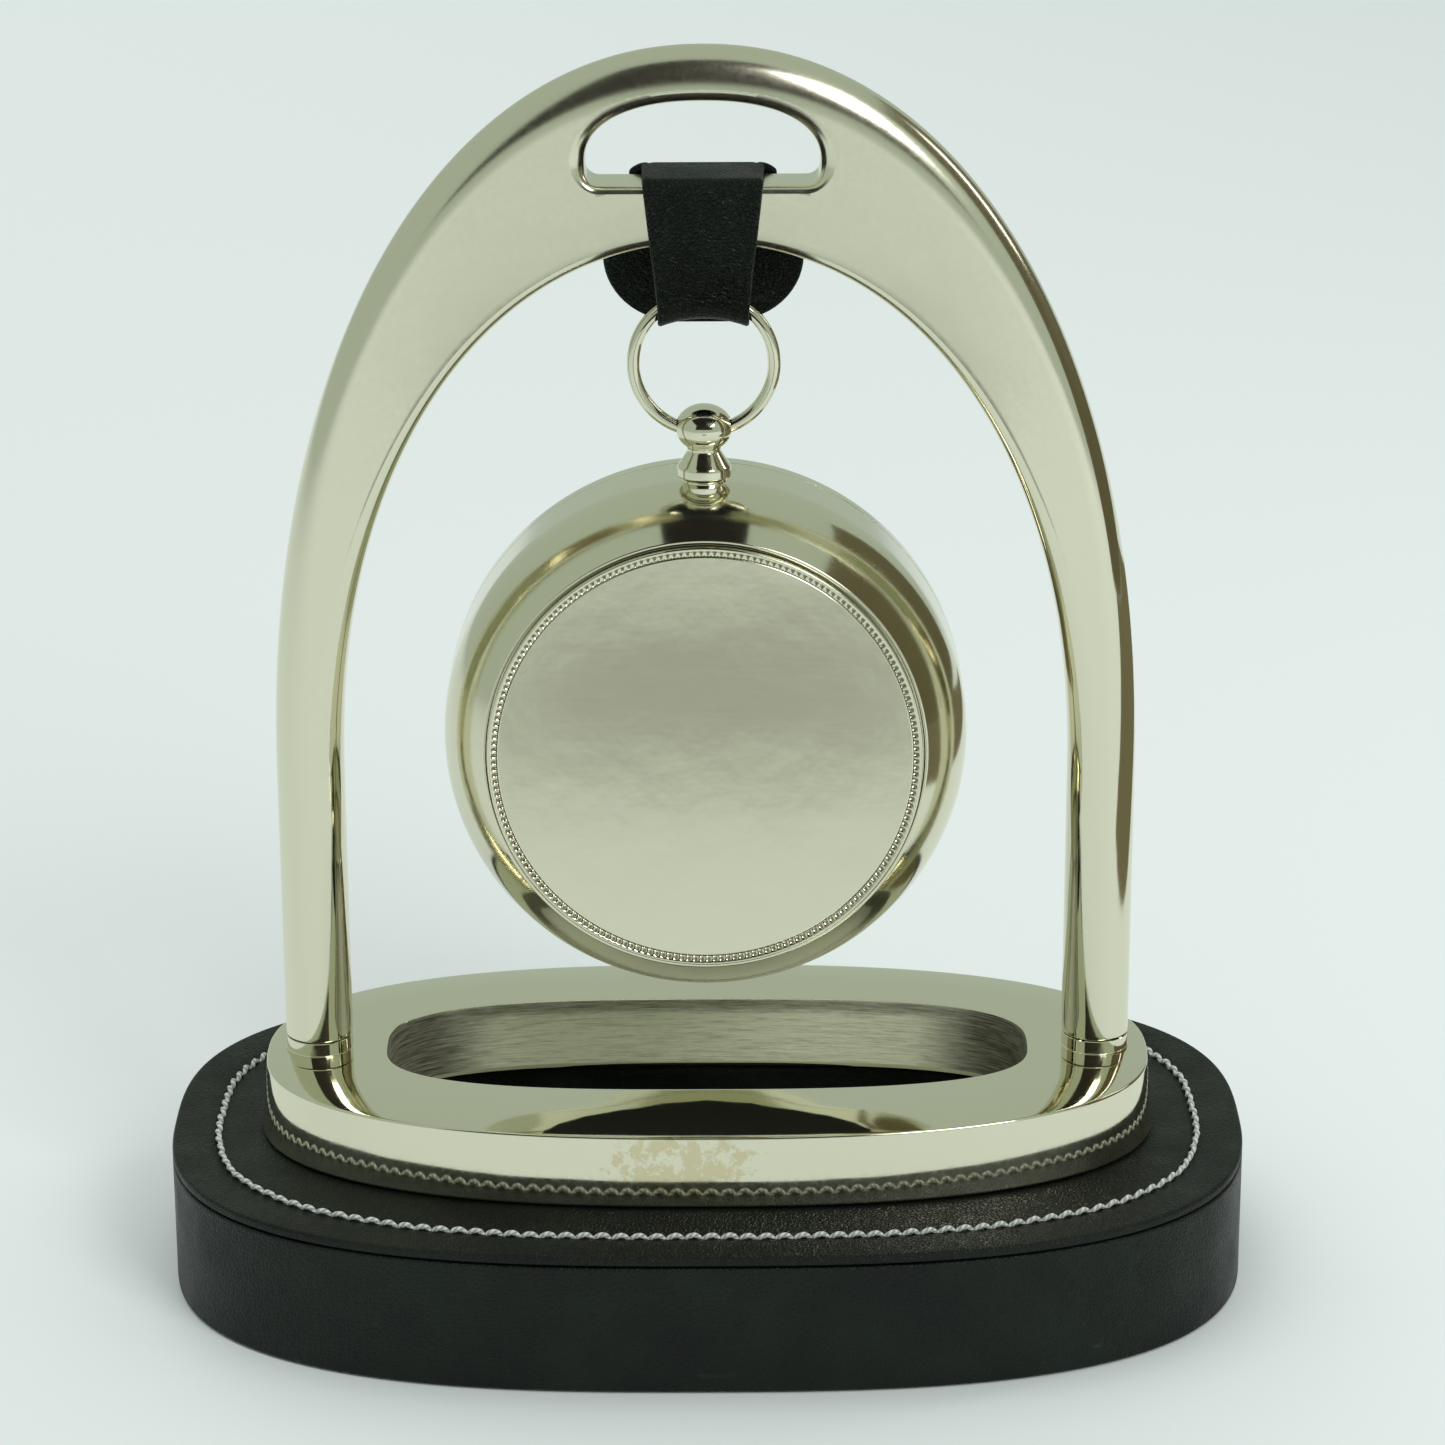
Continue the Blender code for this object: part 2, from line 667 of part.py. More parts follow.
def arch_section(turn, corner_steps):
    """The arch's section at an angle from its springing (0) to its crown (90 degrees).

    Both edges are superellipses about the springing line. The section is a rounded rectangle: a full
    circle at the leg, a flat band with rounded edges at the crown.
    """
    c, s = math.cos(turn), math.sin(turn)

    def edge(half_x, rise):
        total = abs(c / half_x) ** ARCH_ROUNDNESS + abs(s / rise) ** ARCH_ROUNDNESS
        reach = total ** (-1 / ARCH_ROUNDNESS)
        return np.array([reach * c, 0.0, SPRING_Z + reach * s])

    outer = edge(LEG_SPAN / 2 + LEG_DIAMETER, CROWN_TOP - SPRING_Z)
    inner = edge(LEG_SPAN / 2, WEB_BOTTOM - SPRING_Z)
    blend = math.sin(turn) ** CROWN_BLEND
    half_thickness = (LEG_DIAMETER + (CROWN_THICKNESS - LEG_DIAMETER) * blend) / 2
    corner = min(LEG_DIAMETER / 2 + (CROWN_EDGE - LEG_DIAMETER / 2) * blend, half_thickness)
    middle = (outer + inner) / 2
    across = outer - inner
    half_width = np.linalg.norm(across) / 2
    across = across / (2 * half_width)
    outline = rectangle(-half_width, half_width, -half_thickness, half_thickness, corner, corner_steps)
    return [middle + px * across + np.array([0.0, py, 0.0]) for px, py in outline]


def arch():
    """Round legs that widen into a flat crown, lofted section by section and mirrored at the middle."""
    corner_steps = 3
    leg = np.array(arch_section(0.0, corner_steps))
    sections = []
    for share in LEG_SHARES:
        lowered = leg.copy()
        lowered[:, 2] = LEG_BOTTOM + (SPRING_Z - LEG_BOTTOM) * share
        sections.append(lowered)
    for turn in np.linspace(0, math.pi / 2, 19):
        sections.append(np.array(arch_section(turn, corner_steps)))
    sections[-1][:, 0] = 0.0
    count = len(leg)
    loft = bmesh.new()
    rows = [[loft.verts.new(point) for point in section] for section in sections]
    for low, high in zip(rows[:-1], rows[1:]):
        for i in range(count):
            j = (i + 1) % count
            loft.faces.new((low[i], low[j], high[j], high[i]))
    loft.faces.new(rows[0])
    bmesh.ops.remove_doubles(loft, verts=loft.verts, dist=WELD)
    bmesh.ops.recalc_face_normals(loft, faces=loft.faces)
    mesh = bpy.data.meshes.new("stirrup_arch")
    loft.to_mesh(mesh)
    loft.free()
    obj = mesh_object("stirrup_arch", mesh, nickel())
    mirror = obj.modifiers.new("other_half", "MIRROR")
    mirror.use_axis = (True, False, False)
    mirror.merge_threshold = WELD
    corner_z = WEB_TOP + EYE_CORNER
    corner_x = EYE_WIDTH / 2 - EYE_CORNER
    shoulder_z = WEB_TOP + EYE_SHOULDER
    eye = arc(-corner_x, corner_z, EYE_CORNER, 180, 270, 4) + arc(corner_x, corner_z, EYE_CORNER, 270, 360, 4)
    for turn in np.linspace(0, math.pi, 17):
        c, s = math.cos(turn), math.sin(turn)
        reach = (abs(c) ** EYE_ROUNDNESS + abs(s) ** EYE_ROUNDNESS) ** (-1 / EYE_ROUNDNESS)
        eye.append((EYE_WIDTH / 2 * reach * c, shoulder_z + (EYE_TOP - shoulder_z) * reach * s))
    reach = CROWN_THICKNESS / 2 + OVERRUN
    cutter = flat("strap_eye", [eye], -reach, reach, nickel())
    cutter.rotation_euler = (math.pi / 2, 0, 0)
    boolean(obj, cutter)
    for side in (-1, 1):
        bore = rod(mirrored("leg_bore", side), SCREW_RADIUS + GAP, LEG_BOTTOM - OVERRUN,
                   LEG_BOTTOM + SCREW_IN_LEG + SCREW_RADIUS, SMALL_STEPS, nickel(),
                   location=(side * LEG_X, 0, 0))
        boolean(obj, bore)


def strap_stations():
    """The strap's middle line from the tongue's tip to its tucked end: (y, z, half width, sag)."""
    bar_y, bar_z = CROWN_THICKNESS / 2, WEB_TOP
    bend = GAP + STRAP_THICKNESS / 2
    tongue_low = WEB_BOTTOM - TONGUE_DROP
    stations = []
    for share in TONGUE_TIP_SHARES:
        widen = math.sqrt(1 - (1 - share) ** 2)
        half = (TONGUE_TIP_WIDTH + (TONGUE_WIDTH - TONGUE_TIP_WIDTH) * widen) / 2
        stations.append((-STRAP_FACE, tongue_low + TONGUE_ROUND * share, half, 0.0))
    narrow_from = tongue_low + TONGUE_ROUND
    for share in TONGUE_NECK_SHARES:
        half = (TONGUE_WIDTH + (STRAP_WIDTH_BACK - TONGUE_WIDTH) * eased(share)) / 2
        stations.append((-STRAP_FACE, narrow_from + (bar_z - narrow_from) * share, half, 0.0))
    over_back = arc(-bar_y, bar_z, bend, 180, 90, 3)[1:]
    over_front = arc(bar_y, bar_z, bend, 90, 0, 3)
    stations += [(y, z, STRAP_WIDTH_BACK / 2, 0.0) for y, z in over_back]
    stations += [(y, z, STRAP_WIDTH_BAR / 2, 0.0) for y, z in over_front]
    slant_from = WEB_BOTTOM - GAP
    down = [(STRAP_FACE, slant_from, 0.0)]
    for share in SLANT_SHARES:
        down.append((STRAP_FACE + (FOLD_RADIUS - STRAP_FACE) * eased(share),
                     slant_from + (FOLD_Z - slant_from) * share, share ** 2))
    fall = bar_z - FOLD_Z
    for y, z, sag in down:
        half = (STRAP_WIDTH_BAR + (STRAP_WIDTH_FOLD - STRAP_WIDTH_BAR) * (bar_z - z) / fall) / 2
        stations.append((y, z, half, sag))
    half = STRAP_WIDTH_FOLD / 2
    stations += [(y, z, half, 1.0) for y, z in arc(0, FOLD_Z, FOLD_RADIUS, 0, -180, 6)[1:]]
    tuck_y = -(STRAP_FACE - STRAP_THICKNESS - GAP)
    for share in TUCK_SHARES:
        stations.append((-FOLD_RADIUS + (tuck_y + FOLD_RADIUS) * eased(share), FOLD_Z + TUCK_RISE * share,
                         half, 1.0 - share))
    stations.append((tuck_y, TUCK_TOP, half, 0.0))
    return stations


def strap():
    """One leather strap: tongue in front, over the bar, narrow down the back, round the ring, tucked in."""
    stations = strap_stations()
    columns = 6
    sheet = bmesh.new()
    bmesh.ops.create_grid(sheet, x_segments=columns, y_segments=len(stations) - 1, size=1)
    for vert in sheet.verts:
        share = vert.co.x
        row = round((vert.co.y + 1) / 2 * (len(stations) - 1))
        y, z, half, sag = stations[row]
        vert.co = (share * half, y, z - sag * FOLD_SAG * share * share)
    bmesh.ops.recalc_face_normals(sheet, faces=sheet.faces)
    mesh = bpy.data.meshes.new("hanger_strap")
    sheet.to_mesh(mesh)
    sheet.free()
    obj = mesh_object("hanger_strap", mesh, leather())
    wall = obj.modifiers.new("leather", "SOLIDIFY")
    wall.thickness = STRAP_THICKNESS
    wall.offset = 0.0
    front = -(STRAP_FACE + STRAP_THICKNESS / 2)
    tucked = front + 2 * STRAP_THICKNESS + GAP
    facing_front = (math.pi / 2, 0, 0)
    where = (0, 0, STUD_Z)
    hole = rod("stud_hole", STUD_POST_RADIUS + GAP, -(tucked + OVERRUN / 2), -(front - OVERRUN), ARBOR_STEPS,
               leather(), location=where, rotation=facing_front)
    boolean(obj, hole)
    cap_back = -front + GAP
    post_end = -tucked - GAP - STUD_SOCKET_HEIGHT - GAP
    cap = [(0, cap_back + STUD_CAP_HEIGHT)]
    for reach, rise in STUD_CAP_SHARES:
        cap.append((STUD_CAP_RADIUS * reach, cap_back + STUD_CAP_HEIGHT * rise))
    cap += [(STUD_CAP_RADIUS, cap_back), (STUD_POST_RADIUS, cap_back), (STUD_POST_RADIUS, post_end),
            (0, post_end)]
    turned("strap_stud", cap, 20, nickel(), location=where, rotation=facing_front)
    tube("strap_stud_socket", STUD_SOCKET_RADIUS, STUD_POST_RADIUS + GAP, -tucked - GAP - STUD_SOCKET_HEIGHT,
         -tucked - GAP, SMALL_STEPS, nickel(), location=where, rotation=facing_front)


def torus(name, minor, minor_segments, finish):
    bpy.ops.mesh.primitive_torus_add(major_radius=RING_RADIUS, minor_radius=minor, major_segments=36,
                                     minor_segments=minor_segments, location=(0, 0, RING_Z),
                                     rotation=(math.pi / 2, 0, 0))
    obj = bpy.context.object
    obj.name = name
    obj.data.name = name
    obj.data.materials.append(finish)
    obj.data.shade_smooth()
    return place(obj)


def pendant(hang):
    """Ball, neck and flared skirt on a threaded stem, a collar below it and a nut inside the drum."""
    ball_z = BALL_ABOVE_WIRE
    profile = [(BALL_RADIUS * math.cos(turn), ball_z + BALL_HALF_HEIGHT * math.sin(turn))
               for turn in np.radians(np.linspace(90, -45, 7))]
    profile[0] = (0, profile[0][1])
    neck_z = ball_z - NECK_DROP
    skirt_z = ball_z - SKIRT_DROP
    skirt_bottom = skirt_z - SKIRT_RIM
    flare_reach = NECK_RADIUS + (SKIRT_RADIUS - NECK_RADIUS) * SKIRT_REACH_SHARE
    flare_z = neck_z + (skirt_z - neck_z) * SKIRT_FALL_SHARE
    profile += [(NECK_RADIUS, neck_z), (flare_reach, flare_z), (SKIRT_RADIUS, skirt_z)]
    nut_top = barrel(0) - DRUM_WALL - GAP - COLLAR_SUNK - HANG_DROP
    nut_low = nut_top - BUSH_NUT_HEIGHT
    stem_low = nut_low - GAP
    profile += [(SKIRT_RADIUS, skirt_bottom), (STEM_RADIUS, skirt_bottom), (STEM_RADIUS, stem_low),
                (0, stem_low)]
    obj = turned("pendant", profile, LEG_STEPS, nickel(), hang)
    eye = torus("pendant_eye", WIRE_RADIUS + HOLE_CLEARANCE, ARBOR_STEPS, nickel())
    boolean(obj, eye)
    collar_top = skirt_bottom - GAP
    collar_low = barrel(0) - HANG_DROP - COLLAR_SUNK
    foot_top = barrel(0) - HANG_DROP + COLLAR_FOOT
    bore = STEM_RADIUS + GAP
    profile = [(COLLAR_RADIUS, collar_top), (COLLAR_RADIUS, foot_top),
               (COLLAR_FOOT_RADIUS, foot_top - COLLAR_FOOT), (COLLAR_FOOT_RADIUS, collar_low),
               (bore, collar_low), (bore, collar_top)]
    collar = turned("pendant_collar", profile, LEG_STEPS, nickel(), hang, closed=True)
    outlines = [circle(COLLAR_RADIUS, HEXAGON), circle(bore, ARBOR_STEPS)]
    flat("pendant_nut", outlines, nut_low, nut_top, steel(), hang)
    return collar


def drum(hang, axis, collar):
    """The polished bowl of the clock with its back opening, dial seat and hole for the stem."""
    steps = DRUM_STEPS
    stops = np.linspace(DRUM_FRONT, DRUM_BACK, 9)
    outer = [(barrel(z), z) for z in stops]
    seat_back = DRUM_BACK + COVER_RECESS
    flange = seat_back + COVER_SEAT
    rim_inner = RIM_RADIUS - RIM_WALL
    seat_inner = rim_inner - COVER_SEAT_WIDTH
    inner = [(rim_inner, DRUM_BACK), (rim_inner, seat_back), (seat_inner, seat_back), (seat_inner, flange),
             (barrel(flange) - DRUM_WALL, flange)]
    seat_radius = DIAL_RADIUS + GAP - DIAL_SEAT_WIDTH
    for z in np.linspace(flange, SEAT_FACE - DIAL_SEAT, 5)[1:]:
        inner.append((barrel(z) - DRUM_WALL, z))
    inner += [(seat_radius, SEAT_FACE - DIAL_SEAT), (seat_radius, SEAT_FACE),
              (barrel(SEAT_FACE) - DRUM_WALL, SEAT_FACE), (barrel(DRUM_FRONT) - DRUM_WALL, DRUM_FRONT)]
    shell = turned("drum_shell", outer + inner, steps, nickel(), axis, closed=True)
    hole = rod("stem_hole", STEM_RADIUS + GAP, -HANG_DROP, barrel(0) + COLLAR_SUNK - HANG_DROP, ARBOR_STEPS,
               nickel(), hang)
    boolean(shell, hole)
    envelope = [(0, DRUM_FRONT)] + [(barrel(z, GAP), z) for z in stops] + [(0, DRUM_BACK)]
    boolean(collar, turned("collar_seat", envelope, steps, nickel(), axis))
    back_cover(axis, steps, rim_inner, seat_back, seat_inner)
    front(axis, steps)


def back_cover(axis, steps, rim_inner, seat_back, seat_inner):
    """The back cover: a disc with a milled border, held by a thin skirt inside the drum's back seat."""
    edge = rim_inner - GAP
    face = DRUM_BACK - COVER_PROUD
    seat = seat_back - GAP
    skirt_outer = seat_inner - GAP
    skirt_inner = skirt_outer - COVER_SKIRT_WALL
    border = edge - COVER_BORDER
    groove = border - COVER_GROOVE_WIDTH
    inside = face + COVER_THICKNESS
    skirt_top = CASE_BACK - GAP
    profile = [(0, inside), (skirt_inner, inside), (skirt_inner, skirt_top), (skirt_outer, skirt_top),
               (skirt_outer, seat), (edge, seat), (edge, face + COVER_GROOVE), (edge - COVER_GROOVE, face),
               (border, face), (border - COVER_GROOVE, face + COVER_GROOVE), (groove, face + COVER_GROOVE),
               (groove - COVER_GROOVE, face), (0, face)]
    turned("back_cover", profile, steps, satin_nickel(), axis)


def front(axis, steps):
    """Bezel, lens, inner ring and dial, stacked on the seat inside the drum's front."""
    skirt_outer = DRUM_BORE - GAP
    skirt_back = BEZEL_BACK - BEZEL_SKIRT
    lip = BEZEL_BORE - BEZEL_LIP
    outer = barrel(DRUM_FRONT)
    profile = [(lip, BEZEL_FACE), (outer - BEZEL_ROUND, BEZEL_FACE), (outer, BEZEL_FACE - BEZEL_ROUND),
               (outer, BEZEL_BACK), (skirt_outer, BEZEL_BACK), (skirt_outer, skirt_back),
               (BEZEL_BORE, skirt_back), (BEZEL_BORE, LIP_BACK), (lip, LIP_BACK)]
    turned("front_bezel", profile, steps, nickel(), axis, closed=True)
    shoulder = lip - GAP
    lens_front = LENS_BACK + LENS_THICKNESS
    dome = [(shoulder * share, lens_front + LENS_DOME * (1 - share ** 2)) for share in DOME_SHARES]
    hollow = [(radius, height - LENS_THICKNESS) for radius, height in reversed(dome)]
    turned("lens", dome + [(LENS_EDGE, lens_front), (LENS_EDGE, LENS_BACK)] + hollow, steps, glass(), axis)
    ring = [(RING_OUTER, RING_FACE), (RING_OUTER, RING_BACK), (RING_INNER, RING_BACK),
            (RING_INNER + RING_SLOPE, RING_FACE)]
    turned("dial_ring", ring, steps, satin_nickel(), axis, closed=True)
    tube("dial", DIAL_RADIUS, DIAL_HOLE, DIAL_BACK, DIAL_FACE, steps, dial_white(), axis)


def hands(axis):
    """Hour and minute hands with tapered blades, a thin second hand, and the nut on the minute tube."""
    second_rest = SECONDS / 60
    minute_rest = (MINUTES + second_rest) / 60
    hour_rest = (HOURS + minute_rest) / 12

    def blade(length, width, hub):
        half = width / 2
        start = math.degrees(math.acos(half / hub))
        broad, shoulder = half * BLADE_BROAD_SHARE, length * BLADE_SHOULDER_SHARE
        root = arc(0, 0, hub, 180 - start, 360 + start, ARBOR_STEPS)
        return root + [(broad, shoulder), (0, length), (-broad, shoulder)]

    def hand(name, length, width, bore, low, rest):
        outlines = [blade(length, width, bore + HUB_WALL), circle(bore, ARBOR_STEPS)]
        flat(name, outlines, low, low + HAND_THICKNESS, hand_black(), axis, turn=-rest * CIRCLE)

    hand("hour_hand", RING_INNER - HOUR_TO_RING, HAND_WIDTH, HOUR_TUBE + GAP, HOUR_Z, hour_rest)
    hand("minute_hand", RING_INNER - MINUTE_TO_RING, HAND_WIDTH, MINUTE_TUBE + GAP, MINUTE_Z, minute_rest)
    tube("hand_nut", MINUTE_TUBE + GAP + HAND_NUT_WALL, MINUTE_TUBE + GAP, HAND_NUT_Z,
         HAND_NUT_Z + HAND_NUT_HEIGHT, ARBOR_STEPS, brass(), axis)
    half = SECOND_WIDTH / 2
    tip = RING_INNER - SECOND_TO_RING
    hub = SECOND_ARBOR + GAP + HUB_WALL / 2
    reach = math.degrees(math.acos(half / hub))
    outline = arc(0, 0, hub, 180 - reach, 180 + reach, 6) + [(-half, -SECOND_TAIL), (half, -SECOND_TAIL)]
    outline += arc(0, 0, hub, -reach, reach, 6) + [(half, tip), (-half, tip)]
    flat("second_hand", [outline, circle(SECOND_ARBOR + GAP, ARBOR_STEPS)], SECOND_Z,
         SECOND_Z + HAND_THICKNESS, steel(), axis, turn=-second_rest * CIRCLE)


def with_discs(obj, discs, finish, axis, x=0.0, y=0.0):
    """Join toothed discs to a shaft: each disc is (radius, teeth, bore, low)."""
    for index, (radius, teeth, bore, low) in enumerate(discs):
        outlines = [toothed(radius, teeth)] + ([circle(bore, ARBOR_STEPS)] if bore else [])
        disc = flat(f"{obj.name}_disc_{index}", outlines, low, low + WHEEL_THICKNESS, finish, axis, x, y)
        boolean(obj, disc, "UNION")
    return obj


def works(axis):
    """The arbors and wheels of the quartz movement, its motor and its circuit board."""
    overlap = TUBE_WALL / 2
    back_end = CASE_BACK_FACE + GAP
    second_tip = SECOND_Z + HAND_THICKNESS + GAP
    second = rod("second_arbor", SECOND_ARBOR, back_end, second_tip, ARBOR_STEPS, brass(), axis)
    with_discs(second, [(SECOND_WHEEL, SECOND_TEETH, 0, SECOND_WHEEL_Z)], brass(), axis)
    minute = tube("minute_tube", MINUTE_TUBE, MINUTE_BORE, MINUTE_WHEEL_Z, HAND_NUT_Z + HAND_NUT_HEIGHT,
                  ARBOR_STEPS, brass(), axis)
    with_discs(minute, [(MINUTE_WHEEL, MINUTE_TEETH, MINUTE_BORE + overlap, MINUTE_WHEEL_Z),
                        (CANNON_PINION, CANNON_TEETH, MINUTE_BORE + overlap, CANNON_Z)], brass(), axis)
    hour = tube("hour_tube", HOUR_TUBE, HOUR_BORE, HOUR_WHEEL_Z, HOUR_Z + HAND_THICKNESS, ARBOR_STEPS,
                brass(), axis)
    with_discs(hour, [(HOUR_WHEEL, HOUR_TEETH, HOUR_BORE + overlap, HOUR_WHEEL_Z)], brass(), axis)

    motion_reach = HOUR_WHEEL + MOTION_PINION + GAP
    motion_wheel = motion_reach - CANNON_PINION - GAP
    motion_x, motion_y = around(motion_reach, MOTION_TURN)
    motion = rod("motion_wheel", KNOB_SHAFT, CANNON_Z, HOUR_WHEEL_Z + 2 * WHEEL_THICKNESS, ARBOR_STEPS,
                 brass(), axis, location=(motion_x, motion_y, 0))
    with_discs(motion, [(motion_wheel, MOTION_TEETH, 0, CANNON_Z),
                        (MOTION_PINION, MOTION_PINION_TEETH, 0, HOUR_WHEEL_Z)],
               brass(), axis, motion_x, motion_y)

    third_reach = MINUTE_WHEEL + THIRD_PINION + GAP
    third_x, third_y = around(third_reach, THIRD_TURN)
    third_radius = third_reach - SECOND_WHEEL - GAP
    third = rod("third_wheel", THIRD_SHAFT, back_end, HOUR_WHEEL_Z, ARBOR_STEPS, brass(), axis,
                location=(third_x, third_y, 0))
    with_discs(third, [(third_radius, THIRD_TEETH, 0, SECOND_WHEEL_Z),
                       (THIRD_PINION, THIRD_PINION_TEETH, 0, MINUTE_WHEEL_Z)],
               brass(), axis, third_x, third_y)

    rotor_reach = SECOND_WHEEL + ROTOR_PINION + GAP
    rotor_x, rotor_y = around(rotor_reach, ROTOR_TURN)
    rotor_top = SECOND_WHEEL_Z + WHEEL_THICKNESS
    magnet_top = STATOR_Z + STATOR_THICKNESS + GAP
    profile = [(0, rotor_top), (ROTOR_PINION, rotor_top), (ROTOR_PINION, magnet_top),
               (ROTOR_MAGNET, magnet_top), (ROTOR_MAGNET, STATOR_Z - GAP), (0, STATOR_Z - GAP)]
    turned("rotor", profile, SMALL_STEPS, steel(), axis, location=(rotor_x, rotor_y, 0))

    stator_left = rotor_x - STATOR_WIDTH / 2
    stator_right = rotor_x + STATOR_WIDTH / 2
    rotor_hole = ROTOR_MAGNET + GAP
    coil_y = STATOR_HIGH - 2 * COIL_RADIUS
    window_reach = COIL_LENGTH / 2 + GAP
    window = rectangle(rotor_x - window_reach, rotor_x + window_reach, coil_y - COIL_RADIUS - GAP,
                       coil_y + COIL_RADIUS + GAP)
    outlines = [rectangle(stator_left, stator_right, STATOR_LOW, STATOR_HIGH), window,
                circle(rotor_hole, SMALL_STEPS, rotor_x, rotor_y)]
    flat("stator", outlines, STATOR_Z, STATOR_Z + STATOR_THICKNESS, steel(), axis)
    tube("coil", COIL_RADIUS, CORE_RADIUS, -COIL_LENGTH / 2, COIL_LENGTH / 2, SMALL_STEPS, copper(), axis,
         location=(rotor_x, coil_y, CASE_BACK_FACE + COIL_TO_BACK + COIL_RADIUS), rotation=(0, math.pi / 2, 0))
    board_x = -(CASE_SIDE - CASE_WALL - GAP)
    board_low = WORKS_LOW + CASE_CORNER - CASE_WALL
    board_high = CASE_TOP - CASE_CORNER
    flat("circuit_board", [rectangle(board_x, board_x + BOARD_WIDTH, board_low, board_high)],
         STATOR_Z, STATOR_Z + BOARD_THICKNESS, case_plastic(), axis)


def movement_case(axis):
    """The movement's plastic box with its threaded bush, its back, the battery bay and the setting knob."""
    inner = CASE_SIDE - CASE_WALL
    works_high = CASE_TOP - CASE_WALL
    floor = CASE_FACE - CASE_WALL
    outline = rectangle(-CASE_SIDE, CASE_SIDE, CASE_LOW, CASE_TOP, CASE_CORNER)
    body = flat("movement_case", [outline], CASE_BACK, CASE_FACE, case_plastic(), axis)
    corner = CASE_CORNER - CASE_WALL
    rooms = {"works_room": (WORKS_LOW, works_high), "battery_room": (BAY_LOW, BAY_TOP)}
    for name, (low, high) in rooms.items():
        outline = rectangle(-inner, inner, low, high, corner)
        boolean(body, flat(name, [outline], CASE_BACK - OVERRUN, floor, case_plastic(), axis))
    bush = rod("bush", BUSH_RADIUS, CASE_FACE - CASE_WALL / 2, BUSH_FACE, LEG_STEPS, case_plastic(), axis)
    boolean(body, bush, "UNION")
    bore = rod("bush_bore", BUSH_BORE, floor - OVERRUN, BUSH_FACE + OVERRUN, SMALL_STEPS, case_plastic(),
               axis, rotation=(0, 0, OFF_AXIS))
    boolean(body, bore)

    knob_x, knob_y = around(MINUTE_WHEEL + KNOB_PINION + GAP, KNOB_TURN)
    lid = rectangle(-inner + GAP, inner - GAP, WORKS_LOW + GAP, works_high - GAP, corner)
    knob_hole = circle(KNOB_SHAFT + GAP, ARBOR_STEPS, knob_x, knob_y)
    flat("movement_back", [lid, knob_hole], CASE_BACK, CASE_BACK_FACE, case_plastic(), axis)
    shaft_top = MINUTE_WHEEL_Z + WHEEL_THICKNESS
    knob = rod("setting_knob", KNOB_SHAFT, KNOB_FACE - KNOB_HEIGHT / 2, shaft_top, ARBOR_STEPS,
               case_plastic(), axis, location=(knob_x, knob_y, 0))
    with_discs(knob, [(KNOB_PINION, KNOB_TEETH, 0, MINUTE_WHEEL_Z)], case_plastic(), axis, knob_x, knob_y)
    grip = flat("knob_grip", [toothed(KNOB_RADIUS, GRIP_TEETH)], KNOB_FACE - KNOB_HEIGHT, KNOB_FACE,
                case_plastic(), axis, knob_x, knob_y)
    boolean(knob, grip, "UNION")

    outlines = [circle(BUSH_RADIUS + BUSH_NUT_WALL, HEXAGON), circle(BUSH_RADIUS + GAP, LEG_STEPS)]
    flat("bush_nut", outlines, DIAL_FACE + GAP, BUSH_FACE - GAP, brass(), axis)

    bay_middle = (BAY_LOW + BAY_TOP) / 2
    battery_z = floor - GAP - BATTERY_RADIUS
    tip = BATTERY_LENGTH / 2
    shoulder = tip - BATTERY_NUB_LENGTH
    end_radius = BATTERY_RADIUS - BATTERY_CHAMFER
    profile = [(0, tip), (BATTERY_NUB, tip), (BATTERY_NUB, shoulder), (end_radius, shoulder),
               (BATTERY_RADIUS, shoulder - BATTERY_CHAMFER), (BATTERY_RADIUS, -tip + BATTERY_CHAMFER),
               (end_radius, -tip), (0, -tip)]
    turned("battery", profile, LEG_STEPS, brass(), axis, location=(0, bay_middle, battery_z),
           rotation=(0, math.pi / 2, 0))
    for side in (-1, 1):
        near = side * (inner - GAP - CONTACT_THICKNESS)
        far = side * (inner - GAP)
        plate = rectangle(min(near, far), max(near, far), bay_middle - CONTACT_WIDTH / 2,
                          bay_middle + CONTACT_WIDTH / 2)
        flat(mirrored("battery_contact", side), [plate], battery_z - CONTACT_WIDTH / 2, floor - GAP, steel(),
             axis)


def build():
    clear_scene()
    base()
    tread()
    arch()
    strap()
    torus("hanging_ring", WIRE_RADIUS, 8, nickel())
    hang = empty("clock_pivot", (0, 0, PIVOT_Z), (math.radians(HANG_ANGLE), 0, 0))
    axis = empty("drum_axis", (0, 0, -HANG_DROP), (math.pi / 2, 0, 0), hang)
    bpy.context.view_layer.update()
    collar = pendant(hang)
    drum(hang, axis, collar)
    hands(axis)
    works(axis)
    movement_case(axis)


build()
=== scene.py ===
"""Table clock: a nickel-plated drum clock on a leather strap inside a stirrup, on an oval leather base.

Sizes are in millimetres and become metres where a mesh is made. +Z is up, the dial faces -Y.
"""
import math

import bpy
import numpy as np
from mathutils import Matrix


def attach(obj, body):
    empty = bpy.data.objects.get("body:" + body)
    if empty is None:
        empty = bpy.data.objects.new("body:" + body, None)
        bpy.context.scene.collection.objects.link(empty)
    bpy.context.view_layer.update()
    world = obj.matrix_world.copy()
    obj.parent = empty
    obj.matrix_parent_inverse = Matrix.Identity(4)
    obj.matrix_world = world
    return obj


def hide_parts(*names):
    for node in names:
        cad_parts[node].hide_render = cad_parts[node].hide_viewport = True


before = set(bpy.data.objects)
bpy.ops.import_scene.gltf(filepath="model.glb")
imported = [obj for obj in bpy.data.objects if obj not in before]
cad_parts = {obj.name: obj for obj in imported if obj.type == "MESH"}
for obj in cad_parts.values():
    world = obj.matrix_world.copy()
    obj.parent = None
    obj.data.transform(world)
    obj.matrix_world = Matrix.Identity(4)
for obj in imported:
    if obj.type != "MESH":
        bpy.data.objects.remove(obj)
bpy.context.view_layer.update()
FULL_TURN = 2 * math.pi


